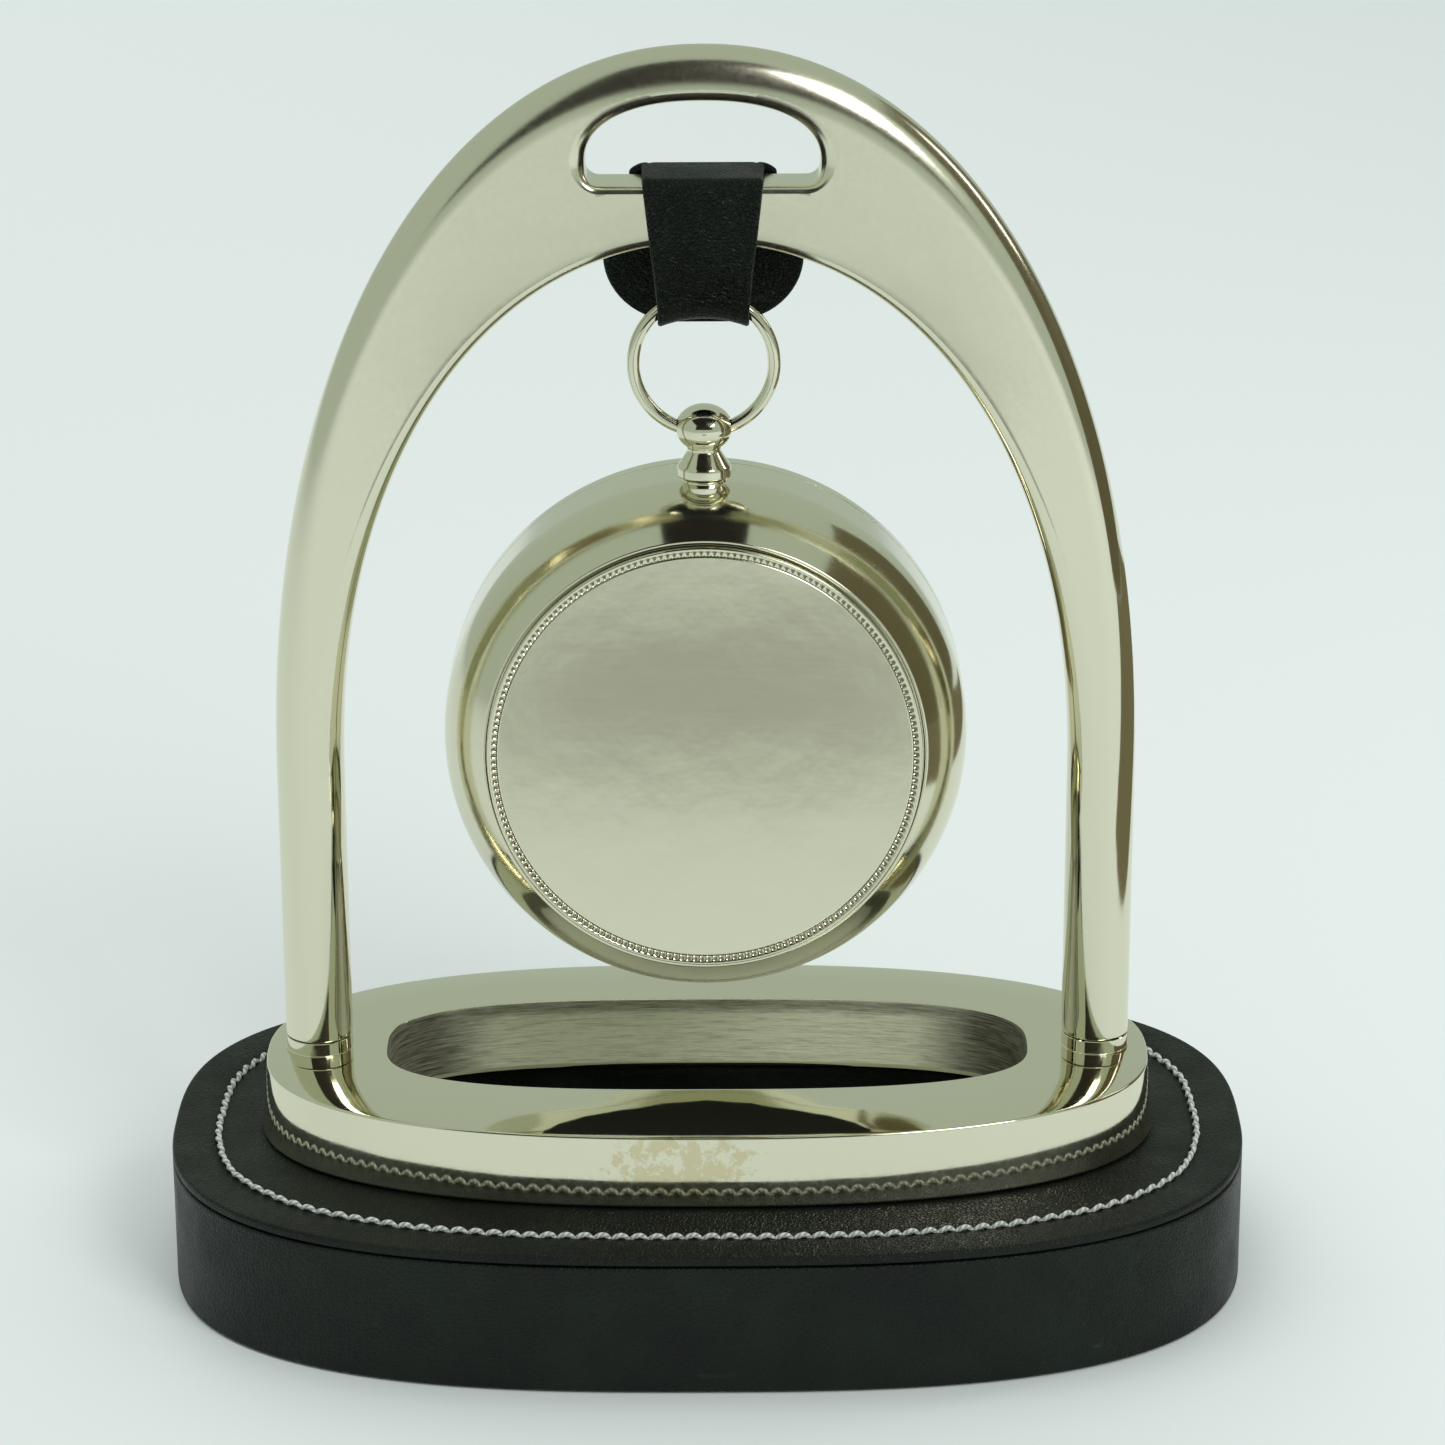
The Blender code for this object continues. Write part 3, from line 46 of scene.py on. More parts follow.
# Base block and foot pad. The block is a softwood board cut to an oval and bored for the two long
# screws; the pad is black felt glued on from below. Both are hidden unless the clock is turned over.
def linear(colour):
    """A six-digit sRGB hex colour as the linear values that a shader takes."""
    values = np.array([int(colour[i:i + 2], 16) / 255 for i in (0, 2, 4)])
    values = np.where(values <= 0.04045, values / 12.92, ((values + 0.055) / 1.055) ** 2.4)
    return (*values, 1.0)


def add(tree, kind, settings=None, links=None):
    """Add one node: settings are its attributes, links its sockets with a value or a socket to join."""
    node = tree.nodes.new(kind)
    for key, value in (settings or {}).items():
        setattr(node, key, value)
    for key, value in (links or {}).items():
        if isinstance(value, bpy.types.NodeSocket):
            tree.links.new(value, node.inputs[key])
        else:
            node.inputs[key].default_value = value
    return node


def finish(name, roughness, metallic=0.0, sockets=None):
    """A new material: its tree, its shader with constant values set, and its object coordinates."""
    material = bpy.data.materials.new(name)
    material.use_nodes = True
    tree = material.node_tree
    shader = tree.nodes["Principled BSDF"]
    shader.inputs["Roughness"].default_value = roughness
    shader.inputs["Metallic"].default_value = metallic
    for key, value in (sockets or {}).items():
        shader.inputs[key].default_value = value
    where = add(tree, "ShaderNodeTexCoord").outputs["Object"]
    return material, tree, shader, where


def noise(tree, where, scale, detail, roughness=0.5):
    """Fractal noise about 0.5, with scale spots to the metre."""
    return add(tree, "ShaderNodeTexNoise", None, {"Vector": where, "Scale": scale, "Detail": detail,
                                                 "Roughness": roughness}).outputs["Fac"]


def spread(tree, value, before, after, course="LINEAR"):
    """A value carried from one range to another, and held at the new range's ends."""
    links = {"Value": value, "From Min": before[0], "From Max": before[1],
             "To Min": after[0], "To Max": after[1]}
    return add(tree, "ShaderNodeMapRange", {"interpolation_type": course}, links).outputs["Result"]


def stretched(tree, where, scale, turn=(0, 0, 0)):
    """Coordinates turned and scaled, so that a noise drawn on them runs long where the scale is small."""
    links = {"Vector": where, "Rotation": turn, "Scale": scale}
    return add(tree, "ShaderNodeMapping", None, links).outputs["Vector"]


def blended(tree, factor, first, second):
    """A colour that goes from the first to the second with the factor; each is a hex colour or a socket."""
    first, second = (linear(colour) if isinstance(colour, str) else colour for colour in (first, second))
    return add(tree, "ShaderNodeMix", {"data_type": "RGBA"},
               {"Factor": factor, "A": first, "B": second}).outputs["Result"]


def mottled(tree, where, size, colours, detail=4.0):
    """Cloudy colour: noise with spots of a size in mm, from the first colour to the last."""
    ramp = add(tree, "ShaderNodeValToRGB", None, {"Fac": noise(tree, where, 1000 / size, detail)})
    for end, place, colour in zip(ramp.color_ramp.elements, (0.35, 0.65), colours):
        end.position, end.color = place, linear(colour)
    return ramp.outputs["Color"]


def roughness_cloud(tree, shader, where, size, low, high, detail=5.0):
    """Roughness that wanders between two values in spots of a size in mm."""
    cloud = noise(tree, where, 1000 / size, detail)
    tree.links.new(spread(tree, cloud, (0.3, 0.7), (low, high)), shader.inputs["Roughness"])


def raised(tree, shader, height, depth, under=None):
    """Surface relief from a height of 0 to 1 that stands for a depth in mm."""
    links = {"Height": height, "Distance": depth / 1000}
    if under is not None:
        links["Normal"] = under
    bump = add(tree, "ShaderNodeBump", None, links)
    tree.links.new(bump.outputs["Normal"], shader.inputs["Normal"])
    return bump.outputs["Normal"]


def clouded(name, roughness, size, colours, metallic=0.0, gloss=None, detail=4.0, sockets=None):
    """A finish whose colour wanders in spots of a size in mm; gloss: size, low and high of roughness."""
    made = material, tree, shader, where = finish(name, roughness, metallic, sockets)
    tree.links.new(mottled(tree, where, size, colours, detail), shader.inputs["Base Color"])
    if gloss:
        roughness_cloud(tree, shader, where, *gloss)
    return made


# Sawn pine: pale with darker growth lines about 3 mm apart, slightly furry to the light.
pine, tree, shader, where = finish("pine_sawn", 0.75)
along_board = stretched(tree, where, (0.08, 1.0, 1.0))
rings = add(tree, "ShaderNodeTexWave", {"bands_direction": "Y"},
            {"Vector": along_board, "Scale": 330 / 3.2, "Distortion": 3.0, "Detail": 3.0}).outputs["Fac"]
tree.links.new(blended(tree, rings, "d9bd8c", "b98f58"), shader.inputs["Base Color"])
raised(tree, shader, rings, 0.06)

# Pressed felt: soft and matt, fibres about 0.4 mm thick drawn as fine noise, a little sheen.
felt, tree, shader, where = clouded("black_felt", 0.95, 0.6, ("17181a", "2c2d30"), detail=6.0,
                                    sockets={"Sheen Weight": 0.5, "Sheen Roughness": 0.6})
raised(tree, shader, noise(tree, where, 2500.0, 6.0), 0.25)


def dress(node, material):
    """Give a CAD node that stays its finish."""
    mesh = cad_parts[node].data
    mesh.materials.clear()
    mesh.materials.append(material)


dress("base_block", pine)
dress("base_pad", felt)


# Leather on the base: a strip glued round the side and a panel on top that ends in a narrow turned
# edge, of black smooth-grained cowhide with a low sheen. The line of stitching pulls the panel in.
BASE_X, BASE_Y, BASE_ROUND = 91.0, 55.5, 2.75
STRIP_LOW, STRIP_TOP, PANEL_LOW, PANEL_TOP = 0.3, 22.6, 22.9, 24.5
STITCH_INSET, STITCH_PITCH, BASE_STEPS = 7.8, 2.95, 420


def superellipse(turn, half_x, half_y, roundness):
    """Points of |x/a|^n + |y/b|^n = 1 in the directions of turn."""
    c, s = np.cos(turn), np.sin(turn)
    reach = (np.abs(c / half_x) ** roundness + np.abs(s / half_y) ** roundness) ** (-1 / roundness)
    return np.stack([reach * c, reach * s], -1)


def evenly(line, count):
    """Points at even distances along a closed line that ends where it starts."""
    run = np.concatenate([[0], np.cumsum(np.linalg.norm(np.diff(line, axis=0), axis=1))])
    even = np.linspace(0, run[-1], count, endpoint=False)
    return np.stack([np.interp(even, run, line[:, 0]), np.interp(even, run, line[:, 1])], -1)


def outline(half_x, half_y, roundness, count):
    """A superellipse with its points evenly spaced along its length."""
    return evenly(superellipse(np.linspace(0, FULL_TURN, 8193), half_x, half_y, roundness), count)


def outwards(points, half_x, half_y, roundness):
    """Unit normals of a superellipse: each part is |x|^(n-1) with its sign, over a^n."""
    slope = np.sign(points) * np.abs(points) ** (roundness - 1) / np.array([half_x, half_y]) ** roundness
    return slope / np.linalg.norm(slope, axis=-1, keepdims=True)


def eased(corners, reach, steps=5, closed=True):
    """An outline whose corners become parabolas: P = corner + reach * ((1-t)^2 u + t^2 v).

    u and v point to the corners before and after. A point a little further out on each side keeps the
    flat faces flat under smooth shading.
    """
    corners = np.asarray(corners, float)
    reach = np.broadcast_to(np.asarray(reach, float), len(corners))[:, None]
    before, after = np.roll(corners, 1, 0) - corners, np.roll(corners, -1, 0) - corners
    long_before, long_after = (np.linalg.norm(side, axis=1, keepdims=True) for side in (before, after))
    reach = np.minimum(reach, 0.42 * np.minimum(long_before, long_after))
    share = np.linspace(0, 1, steps)[None, :, None]
    u, v = (before / long_before)[:, None], (after / long_after)[:, None]
    reach = reach[:, None]
    curve = corners[:, None] + reach * ((1 - share) ** 2 * u + share ** 2 * v)
    rest = 1.15 * reach
    line = np.concatenate([corners[:, None] + rest * u, curve, corners[:, None] + rest * v], 1)
    if not closed:
        line[0], line[-1] = corners[0], corners[-1]
    line = line.reshape(-1, corners.shape[1])
    kept = np.linalg.norm(line - np.roll(line, 1, 0), axis=1) > 1e-5
    kept[0] = kept[0] or not closed
    return line[kept]


def piece(name, points, material, body, stands_for=(), wrap=(False, True), poles=(False, False),
          sharp=35):
    """Mesh over a grid of points[row, column] in mm, ridden on a body.

    wrap joins the last row or column to the first; a pole gathers the first or last row in one point.
    The faces are turned outwards by the sign of the enclosed volume, the sum of a . (b x c) / 6. The
    UV map holds metres along the columns and rows.
    """
    points = np.asarray(points, float) / 1000
    rows, columns = points.shape[:2]
    number = np.arange(rows * columns).reshape(rows, columns)
    down = np.linalg.norm(np.diff(points, axis=0, append=points[:1]), axis=2).max(1)
    along = np.linalg.norm(np.diff(points, axis=1, append=points[:, :1]), axis=2).max(0)
    down, along = (np.concatenate([[0], np.cumsum(step)]) for step in (down, along))
    lengths = np.stack(np.meshgrid(along, down), -1)
    if poles[0]:
        number[0] = number[0, 0]
    if poles[1]:
        number[-1] = number[-1, 0]
    if wrap[0]:
        number = np.vstack([number, number[:1]])
    if wrap[1]:
        number = np.hstack([number, number[:, :1]])
    lengths = lengths[:number.shape[0], :number.shape[1]]

    def corners(grid):
        cells = np.stack([grid[:-1, :-1], grid[:-1, 1:], grid[1:, 1:], grid[1:, :-1]], 2)
        return cells.reshape(-1, *cells.shape[2:])

    faces, places = corners(number), corners(lengths)
    used, faces = np.unique(faces, return_inverse=True)
    faces = faces.reshape(-1, 4)
    verts = points.reshape(-1, 3)[used]
    a, b, c, d = (verts[faces[:, i]] for i in range(4))
    volume = np.einsum("ij,ij->i", a, np.cross(b, c) + np.cross(c, d)).sum()
    if volume < 0:
        faces, places = faces[:, ::-1], places[:, ::-1]
    ends = np.stack([faces, np.roll(faces, -1, 1)], 2)
    kept = ends[:, :, 0] != ends[:, :, 1]
    counts = kept.sum(1)
    whole = counts >= 3
    kept, counts, faces, places = kept[whole], counts[whole], faces[whole], places[whole]
    mesh = bpy.data.meshes.new(name)
    mesh.vertices.add(len(verts))
    mesh.vertices.foreach_set("co", verts.ravel())
    mesh.loops.add(int(counts.sum()))
    mesh.loops.foreach_set("vertex_index", faces[kept].astype(np.int32))
    mesh.polygons.add(len(counts))
    mesh.polygons.foreach_set("loop_start", (np.cumsum(counts) - counts).astype(np.int32))
    mesh.update(calc_edges=True)
    mesh.uv_layers.new(name="UVMap").data.foreach_set("uv", places[kept].ravel())
    mesh.validate()
    mesh.shade_smooth()
    mesh.set_sharp_from_angle(angle=math.radians(sharp))
    mesh.materials.append(material)
    obj = bpy.data.objects.new(name, mesh)
    bpy.context.scene.collection.objects.link(obj)
    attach(obj, body)
    if stands_for:
        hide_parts(*stands_for)
    return obj


def walled(half_x, half_y, roundness, profile, count):
    """Grid of a profile (inset, height) carried round a superellipse along its normals."""
    line = outline(half_x, half_y, roundness, count)
    normal = outwards(line, half_x, half_y, roundness)
    flat = line[None] - profile[:, None, :1] * normal[None]
    return np.concatenate([flat, np.broadcast_to(profile[:, None, 1:], flat.shape[:2] + (1,))], 2)


# Aniline-dyed cowhide, near black with a green cast: pores and fine cells about 0.7 mm wide, gloss
# that wanders, and faint rubbed streaks. Colour and relief are drawn from object coordinates.
def cowhide(name, dark, light, low, high, cell, relief=0.08):
    """Black leather: dark and light colour, roughness range, size and depth of its grain in mm."""
    material, tree, shader, where = finish(name, low, 0.0, {"Specular IOR Level": 0.24})
    shade = mottled(tree, where, 14.0, (dark, light), 6.0)
    streaks = noise(tree, stretched(tree, where, (0.12, 1.6, 1.0), (0.3, 0.1, 0.35)), 240.0, 5.0, 0.65)
    rubbed = spread(tree, streaks, (0.66, 0.78), (0, 0.35))
    tree.links.new(blended(tree, rubbed, shade, "4a4f4c"), shader.inputs["Base Color"])
    roughness_cloud(tree, shader, where, 9.0, low, high)
    cells = add(tree, "ShaderNodeTexVoronoi", {"feature": "DISTANCE_TO_EDGE"},
                {"Vector": where, "Scale": 1000 / cell, "Randomness": 1.0})
    creases = spread(tree, cells.outputs["Distance"], (0, 0.22), (0, 1))
    under = raised(tree, shader, noise(tree, where, 1000 / 3.5, 8.0, 0.6), 0.16)
    raised(tree, shader, creases, relief, under)
    return material


side_hide = cowhide("black_cowhide_side", "060c08", "0d1811", 0.34, 0.5, 0.8)
panel_hide = cowhide("black_cowhide_panel", "080d09", "10170f", 0.36, 0.52, 0.7)

strip = np.array([(0.0, STRIP_LOW), (0.0, STRIP_TOP), (1.2, STRIP_TOP), (1.2, STRIP_LOW)])
strip = eased(strip, (0.5, 0.5, 0.2, 0.2))
piece("side_leather", walled(BASE_X, BASE_Y, BASE_ROUND, strip, BASE_STEPS), side_hide, "stand",
      ("base_side_leather",), wrap=(True, True))

# The panel in rows from the middle of its underside, round its turned edge, over the dip at the
# stitches and back to the middle of its face. The dip is a Gaussian 1.1 mm wide and 0.3 mm deep.
edge = eased([(6.0, PANEL_LOW), (0.0, PANEL_LOW), (0.0, PANEL_TOP), (6.0, PANEL_TOP)],
             (0, 0.5, 0.9, 0), 7, False)
inset = np.concatenate([np.linspace(6.1, 11.0, 26), np.linspace(12.0, 15.2, 5)])
dip = 0.3 * np.exp(-((inset - STITCH_INSET) / 1.1) ** 2)
face = np.stack([inset, PANEL_TOP - dip], -1)
rim = walled(BASE_X, BASE_Y, BASE_ROUND, np.vstack([edge, face]), BASE_STEPS)
shrink = np.linspace(1, 0, 9)
flat_plan = np.array([1.0, 1.0, 0.0])
below = rim[0] * (1 - flat_plan) + rim[0] * flat_plan * shrink[::-1][:-1, None, None]
above = rim[-1] * (1 - flat_plan) + rim[-1] * flat_plan * shrink[1:, None, None]
piece("top_leather", np.concatenate([below, rim, above]), panel_hide, "stand", ("base_top_leather",),
      poles=(True, True))


# Stitching: one thick bonded thread lock-stitched through the panel, off-white and a little grey
# from handling. Each stitch rises out of its hole, bows to one side and dives into the next.
THREAD, STITCH_POINTS = 0.43, 14


def tube_along(path, radius, sides=10):
    """Grid of a round tube on a closed path: circles square to it, their first axis level."""
    run = np.roll(path, -1, 0) - np.roll(path, 1, 0)
    run /= np.linalg.norm(run, axis=1, keepdims=True)
    side = np.cross(run, [0.0, 0.0, 1.0])
    side /= np.linalg.norm(side, axis=1, keepdims=True)
    up = np.cross(side, run)
    turn = np.arange(sides) * FULL_TURN / sides
    radius = np.broadcast_to(radius, len(path))[:, None, None]
    c, s = np.cos(turn)[:, None], np.sin(turn)[:, None]
    return path[:, None] + radius * (c * side[:, None] + s * up[:, None])


oval = (BASE_X - STITCH_INSET, BASE_Y - STITCH_INSET, BASE_ROUND)
loop = outline(*oval, 4000)
length = np.linalg.norm(np.roll(loop, -1, 0) - loop, axis=1).sum()
count = round(length / STITCH_PITCH) * STITCH_POINTS
loop = outline(*oval, count)
normal = outwards(loop, *oval)
part = (np.arange(count) % STITCH_POINTS) / STITCH_POINTS
arc_up = np.sin(part * math.pi) ** 0.7
slant = 0.15 * np.sin(part * FULL_TURN) - 0.12 * np.cos(part * FULL_TURN)
around = np.arange(count) * FULL_TURN / count
wander = 0.10 * np.sin(23 * around) + 0.06 * np.sin(61 * around)
path = np.column_stack([loop + normal * (slant + wander)[:, None], PANEL_TOP - 0.9 + 1.24 * arc_up])

# Bonded polyester thread: plies that cross it slantwise every 1.2 mm, pale, and darker grey in the hollows
# between them.
thread, tree, shader, where = finish("bonded_thread", 0.62, 0.0, {"Sheen Weight": 0.25})
twist = stretched(tree, add(tree, "ShaderNodeTexCoord").outputs["UV"], (1, 1, 1), (0, 0, 0.9))
plies = add(tree, "ShaderNodeTexWave", {"bands_direction": "X"},
            {"Vector": twist, "Scale": 330.0, "Distortion": 0.6}).outputs["Fac"]
tree.links.new(blended(tree, plies, "8f958f", "d3d8d0"), shader.inputs["Base Color"])
raised(tree, shader, plies, 0.08)
piece("stitching", tube_along(path, THREAD * (0.8 + 0.2 * arc_up)), thread, "stand", ("base_stitching",),
      wrap=(True, True))


# Tread: the stirrup's foot plate, a sand-cast brass oval, polished on its face and rim and nickel
# plated; the slot's wall keeps its filing marks. A low boss stands under each leg.
TREAD_X, TREAD_Y, TREAD_ROUND = 76.0, 37.5, 2.43
SLOT_X, SLOT_Y, SLOT_ROUND = 54.3, 18.6, 2.92
TREAD_LOW, TREAD_TOP, BOSS_TOP = 24.8, 37.8, 40.15
LEG_X, LEG_RADIUS = 65.95, 5.65
TREAD_STEPS, RIM_ROWS, WALL_ROWS = 480, 5, 5
RIM_WIDTH, TREAD_FALL, TREAD_CROWN, FOOT_FLARE = 1.9, 0.8, 9.0, 0.15


def calculated(tree, operation, *values, clamp=False):
    """The outcome of one sum on values and sockets."""
    links = dict(enumerate(values))
    return add(tree, "ShaderNodeMath", {"operation": operation, "use_clamp": clamp}, links).outputs["Value"]


# Bright nickel plate over polished brass: warm grey mirror, fine swirls from the mop about 0.8 mm
# apart drawn as roughness, and slow waves of the hand-ground surface 22 mm long.
def bright_nickel(name, colour, low, high, wave, tarnish=None):
    """Polished nickel: colour, roughness range, depth in mm of its slow waves, place in m of a stain."""
    material, tree, shader, where = finish(name, low, 1.0)
    spots = spread(tree, noise(tree, where, 70.0, 5.0, 0.7), (0.68, 0.78), (0, 0.3))
    tone = blended(tree, spots, colour, "c9b98f")
    if tarnish:
        # Dried polish: patches with torn edges, duller and browner, within about 10 mm of the place
        # upwards and 22 mm along the rim.
        flat = add(tree, "ShaderNodeMapping", {"vector_type": "TEXTURE"},
                   {"Vector": where, "Location": tarnish, "Scale": (2.2, 1.0, 1.0)})
        near = add(tree, "ShaderNodeVectorMath", {"operation": "LENGTH"}, {0: flat.outputs["Vector"]})
        inside = spread(tree, near.outputs["Value"], (0.004, 0.010), (0.12, -0.25))
        torn = calculated(tree, "ADD", inside, noise(tree, where, 420.0, 6.0, 0.7))
        tone = blended(tree, spread(tree, torn, (0.55, 0.62), (0, 0.6)), tone, "c8b88e")
    tree.links.new(tone, shader.inputs["Base Color"])
    roughness_cloud(tree, shader, where, 0.8, low, high, 6.0)
    raised(tree, shader, noise(tree, where, 1000 / 22.0, 2.0), wave)
    return material


nickel = bright_nickel("bright_nickel", "e0ddc6", 0.05, 0.11, 0.09)
tread_nickel = bright_nickel("bright_nickel_tread", "e0ddc6", 0.04, 0.09, 0.07, (0.0045, 0.0375, 0.0315))


def by_angle(line, other):
    """The points of a line at the same angles as another's, found on a dense copy."""
    angle = np.unwrap(np.arctan2(other[:, 1], other[:, 0]))
    own = np.unwrap(np.arctan2(line[:, 1], line[:, 0]))
    dense = np.append(own, own[0] + FULL_TURN)
    closed = np.vstack([line, line[:1]])
    return np.stack([np.interp(angle, dense, closed[:, 0]), np.interp(angle, dense, closed[:, 1])], -1)


middle = outline((TREAD_X + SLOT_X) / 2, (TREAD_Y + SLOT_Y) / 2, 2.6, TREAD_STEPS)
tread_line = by_angle(outline(TREAD_X, TREAD_Y, TREAD_ROUND, 6000), middle)
slot_line = by_angle(outline(SLOT_X, SLOT_Y, SLOT_ROUND, 6000), middle)
tread_out = outwards(tread_line, TREAD_X, TREAD_Y, TREAD_ROUND)
slot_out = outwards(slot_line, SLOT_X, SLOT_Y, SLOT_ROUND)


def tread_rows(profile, line, normal, sign):
    """Rows of (inset, height) along a line, inset towards the metal."""
    flat = line[None] + sign * profile[:, None, :1] * normal[None]
    return np.concatenate([flat, np.broadcast_to(profile[:, None, 1:], flat.shape[:2] + (1,))], 2)


# The top falls off towards the rim by a parabola of 0.8 mm over 9 mm, as hand polishing leaves it.
fall = np.linspace(0, 1, 9)[1:]
crowned = np.stack([RIM_WIDTH + TREAD_CROWN * fall, TREAD_TOP - TREAD_FALL * (1 - fall) ** 2], -1)
outer_wall = eased([(3.0, TREAD_LOW), (0.0, TREAD_LOW), (1.1, TREAD_TOP - 0.98),
                    (RIM_WIDTH, TREAD_TOP - TREAD_FALL)], (0, 0.5, 0.5, 0), 9, False)
outer_wall = np.vstack([outer_wall, crowned])
slot_wall = eased([(3.0, TREAD_TOP), (0.0, TREAD_TOP), (0.0, TREAD_LOW), (3.0, TREAD_LOW)],
                  (0, 0.8, 1.0, 0), 7, False)
outer_rows = tread_rows(outer_wall, tread_line, tread_out, -1)
slot_rows = tread_rows(slot_wall, slot_line, slot_out, 1)
shares = np.linspace(0, 1, 5)[1:-1, None, None]
top_rows = outer_rows[-1] * (1 - shares) + slot_rows[0] * shares
low_rows = slot_rows[-1] * (1 - shares) + outer_rows[0] * shares
tread = piece("tread", np.concatenate([outer_rows, top_rows, slot_rows, low_rows]), tread_nickel, "stand",
              ("stirrup_tread",), wrap=(True, True))

# Filed nickel: the slot's wall was drawn with a file along its length and plated unpolished. The
# scratches run level, 0.3 mm apart and about 5 mm long, and give a soft streaked glow.
# Its colour is painted darker in the rounded ends, a painted reflection, and under the rim, a painted shade.
filed, tree, shader, where = finish("filed_nickel", 0.4, 1.0)
scratches = noise(tree, stretched(tree, where, (0.06, 0.06, 1.0)), 3200.0, 4.0, 0.7)
tree.links.new(spread(tree, scratches, (0.3, 0.7), (0.7, 0.95)), shader.inputs["Roughness"])
raised(tree, shader, scratches, 0.2)
apart = add(tree, "ShaderNodeSeparateXYZ", None, {"Vector": where})
sideways = calculated(tree, "ABSOLUTE", apart.outputs["X"])
# Painted reflection: the wall is coloured darker towards the slot's rounded ends.
painted_reflection_at_ends = spread(tree, sideways, (0.035, 0.049), (0, 0.7), "SMOOTHSTEP")
# Painted shade: the wall is coloured darker just under the upper rim.
painted_shade_under_rim = spread(tree, apart.outputs["Z"], ((TREAD_TOP - 3.2) / 1000, (TREAD_TOP - 1.1) / 1000),
                   (0, 0.45), "SMOOTHSTEP")
streaked = calculated(tree, "MULTIPLY_ADD", scratches, 0.9, -0.4)
# The colour mixes the painted reflection and the painted shade with the filing streaks.
painted_reflection_shade_and_streaks = calculated(tree, "ADD", calculated(tree, "MAXIMUM", painted_reflection_at_ends, painted_shade_under_rim), streaked, clamp=True)
tree.links.new(blended(tree, painted_reflection_shade_and_streaks, "fbfbec", "4a4630"), shader.inputs["Base Color"])
tread.data.materials.append(filed)

# The filed part begins RIM_ROWS into the slot, halfway round its upper edge, and is WALL_ROWS high.
wall_from = len(outer_rows) + len(top_rows) + RIM_ROWS
rows = np.repeat(np.arange(len(tread.data.polygons) // TREAD_STEPS), TREAD_STEPS)
on_wall = (rows >= wall_from) & (rows < wall_from + WALL_ROWS)
tread.data.polygons.foreach_set("material_index", on_wall.astype(np.int32))


def carried(radius, height, turn):
    """Grid of radii and heights at the angles of turn about the upright axis."""
    return np.stack([radius * np.cos(turn), radius * np.sin(turn), height + 0 * turn], -1)


def turned(profile, steps):
    """Grid of a profile (radius, height) turned about the upright axis."""
    return carried(profile[:, :1], profile[:, 1:], np.arange(steps) * FULL_TURN / steps)


sweep = np.radians(np.linspace(0, 88, 9))
foot = np.stack([LEG_RADIUS + FOOT_FLARE * (1 - np.cos(sweep)),
                 TREAD_TOP + FOOT_FLARE * (1 - np.sin(sweep))], -1)
boss = np.vstack([[(0, BOSS_TOP), (LEG_RADIUS - 0.4, BOSS_TOP), (LEG_RADIUS - 0.1, BOSS_TOP - 0.03),
                   (LEG_RADIUS, BOSS_TOP - 0.12), (LEG_RADIUS, BOSS_TOP - 0.3)], foot,
                  [(LEG_RADIUS + 0.1, TREAD_TOP - 0.8), (0, TREAD_TOP - 0.8)]])
for side, hand in (("left", -1), ("right", 1)):
    piece("leg_boss_" + side, turned(boss, 96) + np.array([hand * LEG_X, 0, 0]), nickel, "stand", (),
          poles=(True, True))


# Arch: round legs that flatten and widen into a crown with a D-shaped eye for the leather. Cast in
# brass, ground and polished by hand, nickel plated; screwed to the tread from below.
LEG_LOW, SPRING, CROWN_TOP, WEB_LOW, WEB_TOP, EYE_TOP = 40.3, 87.8, 210.595, 179.095, 188.595, 202.0
ARCH_ROUND, CROWN_THICK, CROWN_BLEND = 2.12, 10.0, 1.5
OUTER_CORNER, INNER_CORNER = (7.2, 4.9), 1.6
INNER_X, OUTER_X = 60.3, 71.6


